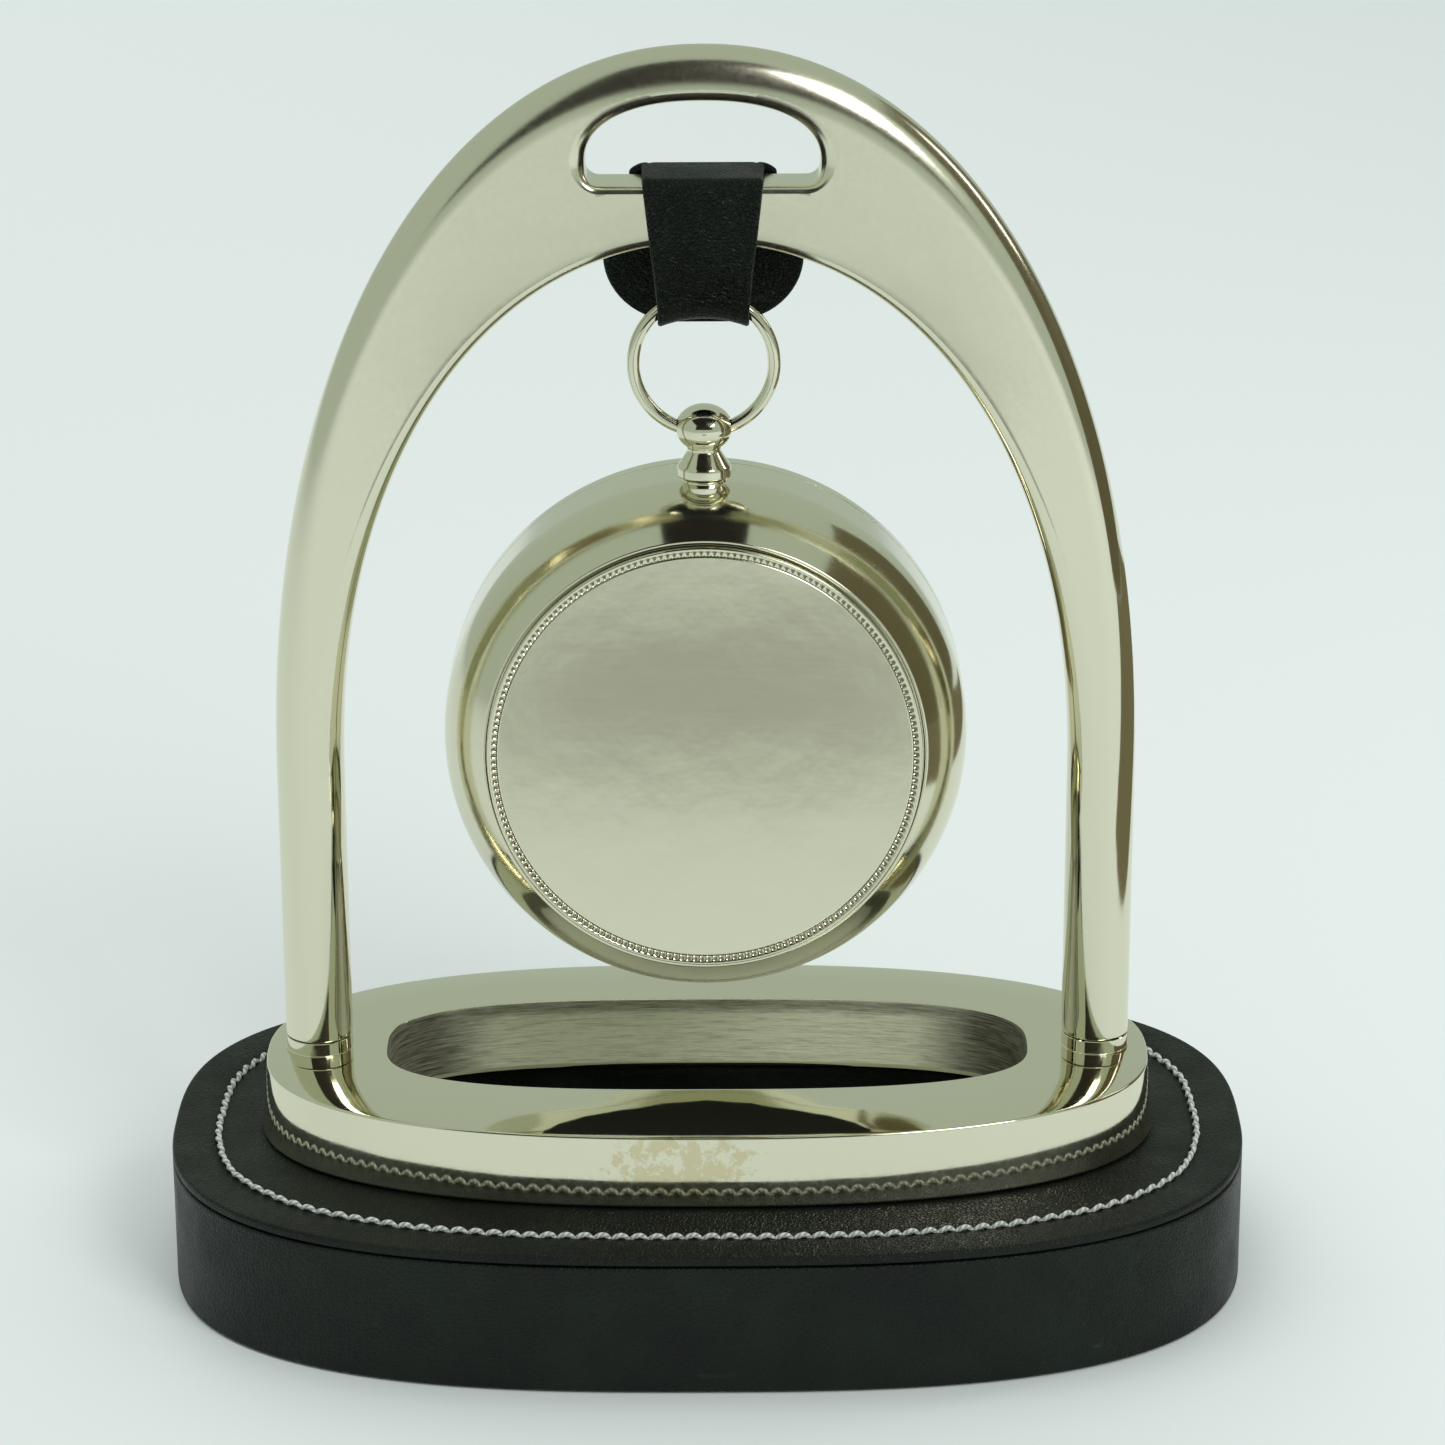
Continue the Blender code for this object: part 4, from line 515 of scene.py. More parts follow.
def arch_grid(turns, corner_steps):
    """Sections of the arch by angle: a rectangle with elliptical corners between two superellipses.

    Outer and inner edge: reach = (|c/a|^n + |s/b|^n)^(-1/n). The corners and the thickness go from
    the round leg to the crown as sin(turn)^1.5; the crown's outer corners are long and soft, its
    inner ones crisp, and halfway the outer ones are drawn in by sin(2 turn)^2.
    """
    s = np.sin(turns)

    def edge(half_x, rise):
        line = superellipse(turns, half_x, rise, ARCH_ROUND)
        return np.stack([line[:, 0], 0 * turns, SPRING + line[:, 1]], -1)

    outer, inner = edge(OUTER_X, CROWN_TOP - SPRING), edge(INNER_X, WEB_LOW - SPRING)
    blend = np.abs(s) ** CROWN_BLEND
    half_thick = (2 * LEG_RADIUS + (CROWN_THICK - 2 * LEG_RADIUS) * blend) / 2
    soft = LEG_RADIUS + (OUTER_CORNER[0] - LEG_RADIUS) * blend - 2.0 * np.sin(2 * turns) ** 2
    crisp = LEG_RADIUS + (INNER_CORNER - LEG_RADIUS) * np.abs(s) ** 0.8
    deep = np.minimum(LEG_RADIUS + (OUTER_CORNER[1] - LEG_RADIUS) * blend, half_thick - 0.02)
    across = outer - inner
    half_wide = np.linalg.norm(across, axis=1) / 2
    across /= 2 * half_wide[:, None]
    angle = (np.arange(4)[:, None] * 90 + np.linspace(0, 90, corner_steps)[None]).ravel()
    quarter = np.repeat(np.arange(4), corner_steps)
    sign_x, sign_y = np.array([1, -1, -1, 1])[quarter], np.array([1, 1, -1, -1])[quarter]
    co, si = np.cos(np.radians(angle)), np.sin(np.radians(angle))
    wide = np.where(sign_x > 0, soft[:, None], crisp[:, None])
    thick = np.where(sign_x > 0, deep[:, None], np.minimum(crisp, half_thick - 0.02)[:, None])
    px = sign_x * (half_wide[:, None] - wide) + wide * co
    py = sign_y * (half_thick[:, None] - thick) + thick * si
    corners = np.stack([px, py], -1).reshape(len(turns), 4, corner_steps, 2)
    between = np.array([0.05, 0.2, 0.4, 0.6, 0.8, 0.95])[:, None]
    sides = corners[:, :, -1:] * (1 - between) + np.roll(corners, -1, 1)[:, :, :1] * between
    section = np.concatenate([corners, sides], 2).reshape(len(turns), -1, 2)
    middle = (outer + inner) / 2
    return middle[:, None] + section[..., :1] * across[:, None] + section[..., 1:] * np.array([0, 1, 0])


def carve(obj, cutter):
    """Cut a closed piece with a closed cutter and keep the result as its mesh."""
    cut = obj.modifiers.new("cut", "BOOLEAN")
    cut.object, cut.operation, cut.solver = cutter, "DIFFERENCE", "EXACT"
    graph = bpy.context.evaluated_depsgraph_get()
    result = bpy.data.meshes.new_from_object(obj.evaluated_get(graph), depsgraph=graph)
    obj.modifiers.remove(cut)
    old, obj.data = obj.data, result
    result.name = obj.name
    bpy.data.meshes.remove(old)
    bpy.data.objects.remove(cutter)


turns = np.linspace(0, math.pi, 221)
crown = arch_grid(turns, 11)

# The arch's nickel is duller towards its crown, where leather has rubbed it: roughness + 0.13.
arch_nickel = bright_nickel("bright_nickel_arch", "e0ddc6", 0.05, 0.1, 0.09)
tree = arch_nickel.node_tree
shader = tree.nodes["Principled BSDF"]
place = add(tree, "ShaderNodeTexCoord").outputs["Object"]
height = add(tree, "ShaderNodeSeparateXYZ", None, {"Vector": place}).outputs["Z"]
rubbed = spread(tree, height, (0.13, 0.195), (0, 0.13))
polished = shader.inputs["Roughness"].links[0].from_socket
tree.links.new(calculated(tree, "ADD", polished, rubbed), shader.inputs["Roughness"])
legs = np.linspace(0, 1, 22)[:-1, None, None]


def leg_rows(foot):
    """Leg sections from the foot's rounded end up to the springing line."""
    ends = np.array([(0.0, 0.0), (0.6, 0.0), (0.95, 0.0), (0.985, 0.03), (0.997, 0.1), (1.0, 0.25)])
    middle = foot.mean(0)
    low = middle * np.array([1, 1, 0]) + (foot - middle) * ends[:, None, :1] * np.array([1, 1, 0])
    low[..., 2] = LEG_LOW + ends[:, 1:]
    rise = LEG_LOW + 0.8 + (SPRING - LEG_LOW - 0.8) * legs
    high = foot * np.array([1, 1, 0]) + np.array([0, 0, 1]) * rise
    return np.concatenate([low, high])


sections = np.concatenate([leg_rows(crown[0]), crown, leg_rows(crown[-1])[::-1]])
arch = piece("arch", sections, arch_nickel, "stand", ("stirrup_arch",), poles=(True, True))

# The eye, as a cutter whose wall turns outwards on both faces by a quarter of a circle, so that its
# rim comes out rounded: offset = r (1 - cos t), depth = y0 + r sin t. The rim is narrow at the bar
# and wide at the sides and the top.
EYE_HALF, EYE_CORNER, EYE_SHOULDER, EYE_ROUND, BAR_RIM, SIDE_RIM = 18.8, 2.2, 3.6, 2.3, 1.3, 2.7


def smooth(share):
    """0 to 1 with level ends: 3 t^2 - 2 t^3."""
    return share * share * (3 - 2 * share)


def eye_line(count):
    """D-shaped outline: a flat bottom with round corners under half a superellipse, evenly spaced."""
    low = np.radians(np.linspace(180, 270, 12)), np.radians(np.linspace(270, 360, 12))
    x0, z0 = EYE_HALF - EYE_CORNER, WEB_TOP + EYE_CORNER
    bottom = [np.stack([sign * x0 + EYE_CORNER * np.cos(t), z0 + EYE_CORNER * np.sin(t)], -1)
              for sign, t in zip((-1, 1), low)]
    shoulder = WEB_TOP + EYE_SHOULDER
    top = superellipse(np.linspace(0, math.pi, 60), 1, 1, EYE_ROUND) * (EYE_HALF, EYE_TOP - shoulder)
    line = np.vstack(bottom + [top + (0, shoulder)])
    return evenly(np.vstack([line, line[:1]]), count)


eye = eye_line(200)
run = np.roll(eye, -1, 0) - np.roll(eye, 1, 0)
eye_out = np.stack([run[:, 1], -run[:, 0]], -1) / np.linalg.norm(run, axis=1, keepdims=True)
tilt = np.radians(np.linspace(0, 80, 11))[:, None]
rim = BAR_RIM + (SIDE_RIM - BAR_RIM) * smooth(np.clip((eye[:, 1] - WEB_TOP) / 3.5, 0, 1))
offset = np.vstack([np.zeros((3, len(eye))), rim * (1 - np.cos(tilt)), rim * (1 - np.cos(tilt[-1:])) + 1.2])
depth = CROWN_THICK / 2 - rim + rim * np.sin(tilt)
depth = np.vstack([0 * rim, 0 * rim + 0.8, 0 * rim + 1.6, depth, depth[-1:] + 0.4])
offset, depth = np.vstack([offset[::-1], offset[1:]]), np.vstack([-depth[::-1], depth[1:]])
ring = eye[None] + offset[..., None] * eye_out[None]
grid = np.stack([ring[..., 0], depth, ring[..., 1]], -1)
centre = np.array([0.0, 0.0, (WEB_TOP + EYE_TOP) / 2])
caps = [np.broadcast_to(centre + (0, depth[i].mean(), 0), grid[:1].shape) for i in (0, -1)]
cutter = piece("eye_cutter", np.concatenate([caps[0], grid, caps[1]]), nickel, "stand", poles=(True, True))
carve(arch, cutter)
arch.data.set_sharp_from_angle(angle=math.radians(50))
arch.modifiers.new("weighted", "WEIGHTED_NORMAL").keep_sharp = True


# Hanger: one leather strap. A wide tongue with a rounded tip hangs in front, the strap goes over the
# bar and narrows down the back, folds round the ring and tucks in behind the tongue at the stud.
STRAP_FACE, STRAP_THICK, STRAP_GAP, FOLD_RADIUS, FOLD_Z, FOLD_SAG = 5.95, 1.3, 0.3, 2.4, 168.745, 1.5
TONGUE_HALF, TIP_HALF, BACK_HALF, BAR_HALF, FOLD_HALF = 16.3, 4.5, 11.9, 9.6, 7.4
TONGUE_DROP, TONGUE_ROUND, BEND_INSET = 15.5, 11.0, 2.0
TUCK_RISE, TUCK_TOP, TUCK_ROUND = 3.1, 178.1, 3.4
STUD_Z = 175.195


def strap_rows():
    """The strap's middle line from the tongue's tip to its tucked end: y, z, half width, sag."""
    def stations(y, z, half, sag=0.0):
        return np.stack(np.broadcast_arrays(y, z, half, sag), -1)

    def width(z):
        return BAR_HALF + (FOLD_HALF - BAR_HALF) * (WEB_TOP - z) / (WEB_TOP - FOLD_Z)

    low, bar_y, bend = WEB_LOW - TONGUE_DROP, CROWN_THICK / 2, STRAP_GAP + STRAP_THICK / 2
    tip = np.linspace(0, 1, 14) ** 1.6
    round_part = stations(-STRAP_FACE, low + TONGUE_ROUND * tip,
                          TIP_HALF + (TONGUE_HALF - TIP_HALF) * np.sqrt(1 - (1 - tip) ** 2))
    neck = np.linspace(0, 1, 16)[1:]
    neck_part = stations(-STRAP_FACE, low + TONGUE_ROUND + (WEB_TOP - low - TONGUE_ROUND) * neck,
                         TONGUE_HALF + (BACK_HALF - TONGUE_HALF) * smooth(neck))
    turn = np.radians(np.linspace(180, 90, 7))[1:]
    over = stations(-bar_y + bend * np.cos(turn), WEB_TOP + bend * np.sin(turn),
                    BACK_HALF - BEND_INSET * smooth(2 - turn * 2 / math.pi))
    flat = np.linspace(0, 1, 6)[1:-1]
    across = stations(-bar_y + 2 * bar_y * flat, WEB_TOP + bend,
                      BACK_HALF - BEND_INSET + (BAR_HALF - BACK_HALF + BEND_INSET) * smooth(flat))
    turn = turn[::-1]
    back = stations(bar_y - bend * np.cos(turn), WEB_TOP + bend * np.sin(turn), BAR_HALF)
    lean_from = WEB_LOW - STRAP_GAP
    z = WEB_TOP + (lean_from - WEB_TOP) * np.linspace(0, 1, 8)[1:]
    straight = stations(STRAP_FACE, z, width(z))
    lean = np.linspace(0, 1, 12)[1:]
    z = lean_from + (FOLD_Z - lean_from) * lean
    slant = stations(STRAP_FACE + (FOLD_RADIUS - STRAP_FACE) * smooth(lean), z, width(z), lean ** 2)
    turn = np.radians(np.linspace(0, -180, 13))[1:]
    fold = stations(FOLD_RADIUS * np.cos(turn), FOLD_Z + FOLD_RADIUS * np.sin(turn), FOLD_HALF, 1.0)
    tuck_y = -(STRAP_FACE - STRAP_THICK - STRAP_GAP)
    tuck = np.linspace(0, 1, 7)[1:]
    tucked = stations(-FOLD_RADIUS + (tuck_y + FOLD_RADIUS) * smooth(tuck), FOLD_Z + TUCK_RISE * tuck,
                      FOLD_HALF, 1 - tuck)
    end = np.concatenate([np.linspace(0, 0.7, 5)[1:], [0.8, 0.88, 0.94, 0.98, 1.0]])
    rounding = 1 - np.sqrt(1 - np.clip((end - 0.7) / 0.3, 0, 1) ** 2)
    rest = stations(tuck_y, FOLD_Z + TUCK_RISE + (TUCK_TOP - FOLD_Z - TUCK_RISE) * end,
                    FOLD_HALF - TUCK_ROUND * rounding)
    return np.vstack([round_part, neck_part, over, across, back, straight, slant, fold, tucked, rest])


def strap_grid():
    """Closed section carried along the strap: two faces with rounded edges and a creased line on each.

    The crease is a Gaussian 0.3 mm wide, 1.5 mm inside the edge of the outer face, 0.16 mm deep on
    the tongue and 0.02 mm on the back.
    """
    rows = strap_rows()
    line, half, sag = rows[:, :2], rows[:, 2], rows[:, 3]
    run = np.gradient(line, axis=0)
    run /= np.linalg.norm(run, axis=1, keepdims=True)
    out = np.stack([-run[:, 1], run[:, 0]], -1)
    face = np.concatenate([np.linspace(-1, -0.55, 14), np.linspace(-0.5, 0.5, 9), np.linspace(0.55, 1, 14)])
    edge = np.radians(np.linspace(90, -90, 9))[1:-1]
    thick = STRAP_THICK / 2
    inner = half[:, None] - thick
    x_face = inner * face
    inside = half[:, None] - np.abs(x_face)
    crease = np.where(line[:, :1] < -3, 0.16, 0.02) * np.exp(-((inside - 1.5) / 0.3) ** 2)
    beyond = inner + thick * np.cos(edge)
    rounding = np.broadcast_to(thick * np.sin(edge), beyond.shape)
    x = np.concatenate([x_face, beyond, x_face[:, ::-1], -beyond], 1)
    lift = np.concatenate([thick - crease, rounding, np.full_like(x_face, -thick), -rounding], 1)
    fall = sag[:, None] * FOLD_SAG * (x / half[:, None]) ** 2
    y = line[:, :1] + lift * out[:, :1]
    z = line[:, 1:] + lift * out[:, 1:] - fall
    grid = np.stack([x, y, z], -1)
    ends = [np.broadcast_to(grid[i].mean(0), grid[:1].shape) for i in (0, -1)]
    return np.concatenate([ends[0], grid, ends[1]])


strap_hide = cowhide("black_cowhide_strap", "050b07", "0e1a12", 0.36, 0.56, 0.75, 0.22)
piece("strap", strap_grid(), strap_hide, "strap", ("hanger_strap",), poles=(True, True), sharp=60)


# Ring: hard nickel-plated brass wire bent to a circle, its ends butted and soldered inside the fold.
RING_Z, RING_RADIUS, WIRE = 158.095, 11.45, 1.05


def hoop(major, minor, steps, sides):
    """Torus about Y: the wire's circle carried round the ring's."""
    around, about = np.meshgrid(np.arange(steps) * FULL_TURN / steps, np.arange(sides) * FULL_TURN / sides,
                                indexing="ij")
    reach = major + minor * np.cos(about)
    return np.stack([reach * np.cos(around), minor * np.sin(about), RING_Z + reach * np.sin(around)], -1)


piece("ring", hoop(RING_RADIUS, WIRE, 160, 28), nickel, "ring", ("hanging_ring",),
      wrap=(True, True))


# Pendant: a turned brass ball, neck and bell on a threaded stem, drilled across for the ring; under
# it a small turned collar seated on the drum. It leans with the drum by 3.6 degrees.
PIVOT_Z = 146.645
UP = np.array([0.0, -0.062791, 0.998027])
BACKWARDS = np.array([0.0, 0.998027, 0.062791])
ACROSS = np.array([1.0, 0.0, 0.0])


def hung(grid):
    """Points about the ring's wire, leaned with the drum: x across, y to the back, z up."""
    return (np.array([0, 0, PIVOT_Z]) + grid[..., :1] * ACROSS + grid[..., 1:2] * BACKWARDS
            + grid[..., 2:] * UP)


BALL_Z, BALL_RADIUS, BALL_RISE = 0.6, 4.7, 3.9
turn = np.radians(np.linspace(90, -52, 26))
ball = np.stack([BALL_RADIUS * np.cos(turn), BALL_Z + BALL_RISE * np.sin(turn)], -1)
ball[0, 0] = 0
cone = eased([(2.72, -2.9), (2.72, -3.2), (4.45, -5.85), (4.5, -7.5), (1.5, -7.5)],
             (0, 0.5, 0.3, 0.35, 0), 6, False)
profile = np.vstack([ball, cone, [(1.5, -16.5), (0, -16.5)]])
pendant = piece("pendant_knob", hung(turned(profile, 96)), nickel, "clock", ("pendant",),
                poles=(True, True), sharp=42)
hole = hoop(RING_RADIUS, WIRE + 0.5, 120, 24)
carve(pendant, piece("wire_hole", hole, nickel, "clock", wrap=(True, True)))
pendant.data.set_sharp_from_angle(angle=math.radians(42))
collar = eased([(1.8, -7.8), (3.6, -7.8), (3.75, -8.2), (3.2, -9.0), (3.2, -10.1), (1.8, -10.1)],
               (0.1, 0.25, 0.3, 0.2, 0.1, 0.1), 6)
piece("collar", hung(turned(collar, 96)), nickel, "clock", ("pendant_collar",), wrap=(True, True))


# Drum: a bowl spun from brass sheet, polished and nickel plated, straight at the dial and drawn in
# towards the back, where a thin rolled rim holds the cover.
DRUM_Z, DRUM_Y = 94.697, 3.268
DRUM_RADIUS, DRUM_FRONT, DRUM_BACK, DRUM_WIDEST, DRAWN_IN = 43.427, 14.0, -11.3, 3.0, 6.93
DRUM_WALL, DRUM_BORE = 1.2, 42.227
DRUM_STEPS = 256


def on_drum(grid):
    """Points about the drum's axis: x across, y up the drum, z towards the dial."""
    return (np.array([0, DRUM_Y, DRUM_Z]) + grid[..., :1] * ACROSS + grid[..., 1:2] * UP
            - grid[..., 2:] * BACKWARDS)


def barrel(place):
    """Outer radius along the axis: a cylinder that goes over into a parabola at the widest place."""
    return DRUM_RADIUS - DRAWN_IN * (np.minimum(place - DRUM_WIDEST, 0) / (DRUM_BACK - DRUM_WIDEST)) ** 2


def on_lathe(name, profile, material, body, node, hollow=True):
    """A piece turned about the drum's axis: a closed profile where hollow, else one from pole to pole."""
    return piece(name, on_drum(turned(profile, DRUM_STEPS)), material, body, (node,),
                 wrap=(hollow, True), poles=(not hollow, not hollow))


outside = np.concatenate([[DRUM_FRONT, 13.6, 8.0], np.linspace(DRUM_WIDEST, DRUM_BACK + 0.25, 40)])
outside = np.stack([barrel(outside), outside], -1)
back_rim = eased([(36.74, DRUM_BACK + 0.25), (36.5, DRUM_BACK), (36.0, DRUM_BACK), (36.0, -10.3),
                  (34.1, -10.3), (34.1, -9.4), (36.9, -9.4)], 0.15, 4, False)
inside = np.linspace(-9.3, 7.3, 24)
inside = np.stack([barrel(inside) - DRUM_WALL, inside], -1)
seat = np.array([(DRUM_BORE, 7.5), (38.5, 7.5), (38.5, 8.3), (DRUM_BORE, 8.3), (DRUM_BORE, DRUM_FRONT)])
shell = np.vstack([outside, back_rim, inside, seat])
spun = bright_nickel("spun_nickel", "dddac2", 0.09, 0.15, 0.05)
on_lathe("drum_bowl", shell, spun, "clock", "drum_shell")


# Back cover: a pressed disc, satin nickel on its face, with a milled border like a coin's edge. It
# is a push fit in the bowl's seat and comes off for the battery.
COVER_FACE, MILLING, NOTCH_POINTS, NOTCH_DEPTH = -12.5, 200, 12, 0.3


def satin_nickel(name, colours):
    """Nickel over brass rubbed with fine paper: soft mirror, level lines 0.4 mm apart and slow waves."""
    material, tree, shader, where = finish(name, 0.22, 1.0)
    lines = noise(tree, stretched(tree, where, (0.03, 1.0, 1.0)), 2600.0, 3.0, 0.7)
    tree.links.new(blended(tree, lines, *colours), shader.inputs["Base Color"])
    tree.links.new(spread(tree, lines, (0.3, 0.7), (0.157, 0.166)), shader.inputs["Roughness"])
    raised(tree, shader, noise(tree, where, 1000 / 15.0, 4.5), 0.1)
    return material


satin = satin_nickel("satin_nickel", ("dbd8c1", "e0ddc7"))
disc = [(0, -11.3), (32.8, -11.3), (32.8, -8.5), (33.8, -8.5), (33.8, -10.6), (34.1, -10.6),
        (34.1, COVER_FACE + 0.1), (33.95, COVER_FACE), (0, COVER_FACE)]
disc = eased(disc, (0, 0.1, 0.1, 0.1, 0.1, 0.05, 0.05, 0.1, 0), 4, False)
shares = np.linspace(1, 0, 8)[1:, None]
disc = np.vstack([disc[:-1], disc[-2] * (1, 0) * shares + (0, COVER_FACE)])
on_lathe("cover_disc", disc, satin, "cover", "back_cover", hollow=False)

# The border: a smooth bead whose inner flank is milled with notches 0.3 mm deep, the height between
# their crests being 1 - ((1 + cos(n turn)) / 2)^0.6.
columns = MILLING * NOTCH_POINTS
turn = np.arange(columns) * FULL_TURN / columns
notch = 1 - (0.5 + 0.5 * np.cos(turn * MILLING)) ** 0.6
border = np.array([(34.15, 1.9, 0), (34.15, 0.65, 0), (34.2, 0.06, 0.3), (34.45, -0.01, 1.0),
                   (34.7, -0.08, 1.0), (34.92, -0.14, 1.0), (35.02, -0.2, 0.2), (35.15, -0.26, 0),
                   (35.35, -0.3, 0), (35.52, -0.3, 0), (35.64, -0.2, 0), (35.697, 0, 0), (35.697, 1.9, 0)])
border[:, 1] += COVER_FACE
height = border[:, 1:2] + NOTCH_DEPTH * border[:, 2:] * notch
grid = on_drum(carried(border[:, :1], height, turn))
milled = piece("cover_milling", grid, nickel, "cover", (), wrap=(True, True), sharp=80)

# Painted shade in the notches: the deeper half of each is coloured olive brown and matt.
milled.data.materials.append(clouded("painted_shade_in_notches", 0.8, 0.8, ("6f6b4e", "8a8563"))[0])
row = np.arange(len(border))[:, None]
deep = (notch > 0.5) & (row >= 3) & (row < 6)
milled.data.polygons.foreach_set("material_index", deep.ravel().astype(np.int32))


# Bezel: a turned ring pressed into the drum's mouth, polished and nickel plated, with a rounded
# shoulder, a fine groove in its face and a small step down to the lens.
bezel = [(39.477, 16.6), (39.477, 17.4), (40.1, 18.1), (40.95, 18.1), (41.1, 17.85), (41.35, 17.85),
         (41.5, 18.1), (43.427, 18.1), (43.427, 14.3), (41.927, 14.3), (41.927, 12.0), (41.277, 12.0),
         (41.277, 16.6)]
bezel = eased(bezel, (0.1, 0.2, 0.3, 0.1, 0.05, 0.05, 0.1, 1.3, 0.2, 0.05, 0.2, 0.1, 0.05), 7)
on_lathe("bezel", bezel, nickel, "clock", "front_bezel")


# Lens: pressed mineral glass 1.3 mm thick, a shallow dome with a flat edge that the bezel holds down.
# Its height is lens_front + dome (1 - share^2).
share = np.linspace(0, 1, 20)
dome = np.stack([39.177 * share, 15.9 + 2.6 * (1 - share ** 2)], -1)
edge = eased([(39.177, 15.9), (40.977, 15.9), (40.977, 14.6), (39.177, 14.6)], (0, 0.15, 0.15, 0), 4, False)
lens_line = np.vstack([dome[:-1], edge, (dome - (0, 1.3))[::-1][1:]])

# Clear mineral glass: hardly any colour, with the finest wiping haze in its polish.
clear_glass, tree, shader, where = finish("mineral_glass", 0.0, 0.0,
                                          {"IOR": 1.52, "Transmission Weight": 1.0})
shader.inputs["Base Color"].default_value = linear("fbfdfc")
roughness_cloud(tree, shader, where, 12.0, 0.0, 0.025)
lens = on_lathe("glass_lens", lens_line, clear_glass, "clock", "lens", hollow=False)
lens.visible_shadow = False


# Inner ring and dial: a satin ring slopes down to a brass disc lacquered warm white, with a turned
# line round the numerals. Figures and minute track are printed in black, a film 0.02 mm thick.
slope = eased([(40.677, 14.3), (40.677, 9.7), (38.477, 9.7), (38.6, 10.3), (39.0, 10.6), (39.75, 13.7),
               (39.877, 14.3)], (0.1, 0.1, 0.1, 0.15, 0.15, 0.15, 0.1), 5)
on_lathe("inner_ring", slope, satin, "clock", "dial_ring")

DIAL_FACE, DIAL_BACK, DIAL_EDGE, DIAL_HOLE, LINE_DEPTH = 9.4, 8.6, 41.227, 4.3, 0.12
sunk = DIAL_FACE - LINE_DEPTH
plate = [(DIAL_HOLE, DIAL_BACK), (DIAL_EDGE, DIAL_BACK), (DIAL_EDGE, DIAL_FACE), (34.2, DIAL_FACE),
         (34.05, sunk), (33.75, sunk), (33.6, DIAL_FACE), (22.6, DIAL_FACE), (22.45, sunk), (22.15, sunk),
         (22.0, DIAL_FACE), (DIAL_HOLE, DIAL_FACE)]
plate = eased(plate, (0.1, 0.1, 0.2) + 8 * (0.05,) + (0.1,), 4)

# Stove lacquer: warm white, a fine orange-peel of 0.5 mm, slight yellowing in clouds.
lacquer, tree, shader, where = clouded("dial_lacquer", 0.42, 25.0, ("efece0", "f4f2e8"), detail=3.0)
raised(tree, shader, noise(tree, where, 2000.0, 2.0), 0.006)
on_lathe("dial_plate", plate, lacquer, "clock", "dial")

# Printing ink: soft black, its tone wandering in spots about 1.2 mm wide.
ink = clouded("printing_ink", 0.5, 1.2, ("15161a", "24262b"))[0]


def printed(name, verts, faces):
    """A printed mesh on the dial from places in mm: x across, y up, z above the dial's face."""
    mesh = bpy.data.meshes.new(name)
    mesh.from_pydata((on_drum(np.asarray(verts) + (0, 0, DIAL_FACE)) / 1000).tolist(), [], faces)
    mesh.validate()
    mesh.materials.append(ink)
    obj = bpy.data.objects.new(name, mesh)
    bpy.context.scene.collection.objects.link(obj)
    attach(obj, "clock")
    return obj


minute = np.arange(60)
heavy = minute % 5 == 0
half, low, high = np.where(heavy, 0.55, 0.16), np.where(heavy, 34.6, 35.3), np.full(60, 37.4)
box = np.array([(-1, 0, 0), (1, 0, 0), (1, 1, 0), (-1, 1, 0), (-1, 0, 1), (1, 0, 1), (1, 1, 1), (-1, 1, 1)])
side = half[:, None] * box[:, 0]
reach = low[:, None] + (high - low)[:, None] * box[:, 1]
cw = minute[:, None] * FULL_TURN / 60
marks = np.stack([side * np.cos(cw) + reach * np.sin(cw), reach * np.cos(cw) - side * np.sin(cw),
                  np.broadcast_to(0.02 * box[:, 2], side.shape)], -1)
box_faces = np.array([(0, 3, 2, 1), (4, 5, 6, 7), (0, 1, 5, 4), (1, 2, 6, 5), (2, 3, 7, 6), (3, 0, 4, 7)])
track_faces = (box_faces[None] + 8 * minute[:, None, None]).reshape(-1, 4).tolist()
printed("minute_track", marks.reshape(-1, 3), track_faces)

# Plain figures 6.6 mm high, upright, on a circle of 28 mm.
verts, faces = [], []
for hour in range(1, 13):
    words = bpy.data.curves.new("figure", "FONT")
    words.body, words.size, words.align_x, words.align_y = str(hour), 0.0092, "CENTER", "CENTER"
    words.extrude, words.space_character = 0.00001, 0.95
    figure = bpy.data.objects.new("figure", words)
    flat_figure = bpy.data.meshes.new_from_object(figure)
    corners = np.empty(len(flat_figure.vertices) * 3)
    flat_figure.vertices.foreach_get("co", corners)
    corners = corners.reshape(-1, 3) * 1000
    corners[:, :2] -= (corners[:, :2].min(0) + corners[:, :2].max(0)) / 2
    cw = hour * FULL_TURN / 12
    start = sum(map(len, verts))
    verts.append(corners + (28.0 * math.sin(cw), 28.0 * math.cos(cw), 0.01))
    faces += [[start + corner for corner in face.vertices] for face in flat_figure.polygons]
    bpy.data.objects.remove(figure)
    bpy.data.curves.remove(words)
    bpy.data.meshes.remove(flat_figure)
printed("figures", np.vstack(verts), faces)


# Hands: leaf-shaped blades stamped from brass 0.4 mm thick with a low ridge, painted black, and a thin
# steel second hand with a round counterweight. They show about ten past ten.
REST_HOUR, REST_MINUTE, REST_SECOND = 304.8, 57.6, 216.0


def swung(grid, degrees_clockwise):
    """Points of a hand drawn upright, turned to its place on the dial."""
    c, s = math.cos(math.radians(degrees_clockwise)), math.sin(math.radians(degrees_clockwise))
    x, y = grid[..., :1], grid[..., 1:2]
    return on_drum(np.concatenate([x * c + y * s, y * c - x * s, grid[..., 2:]], -1))


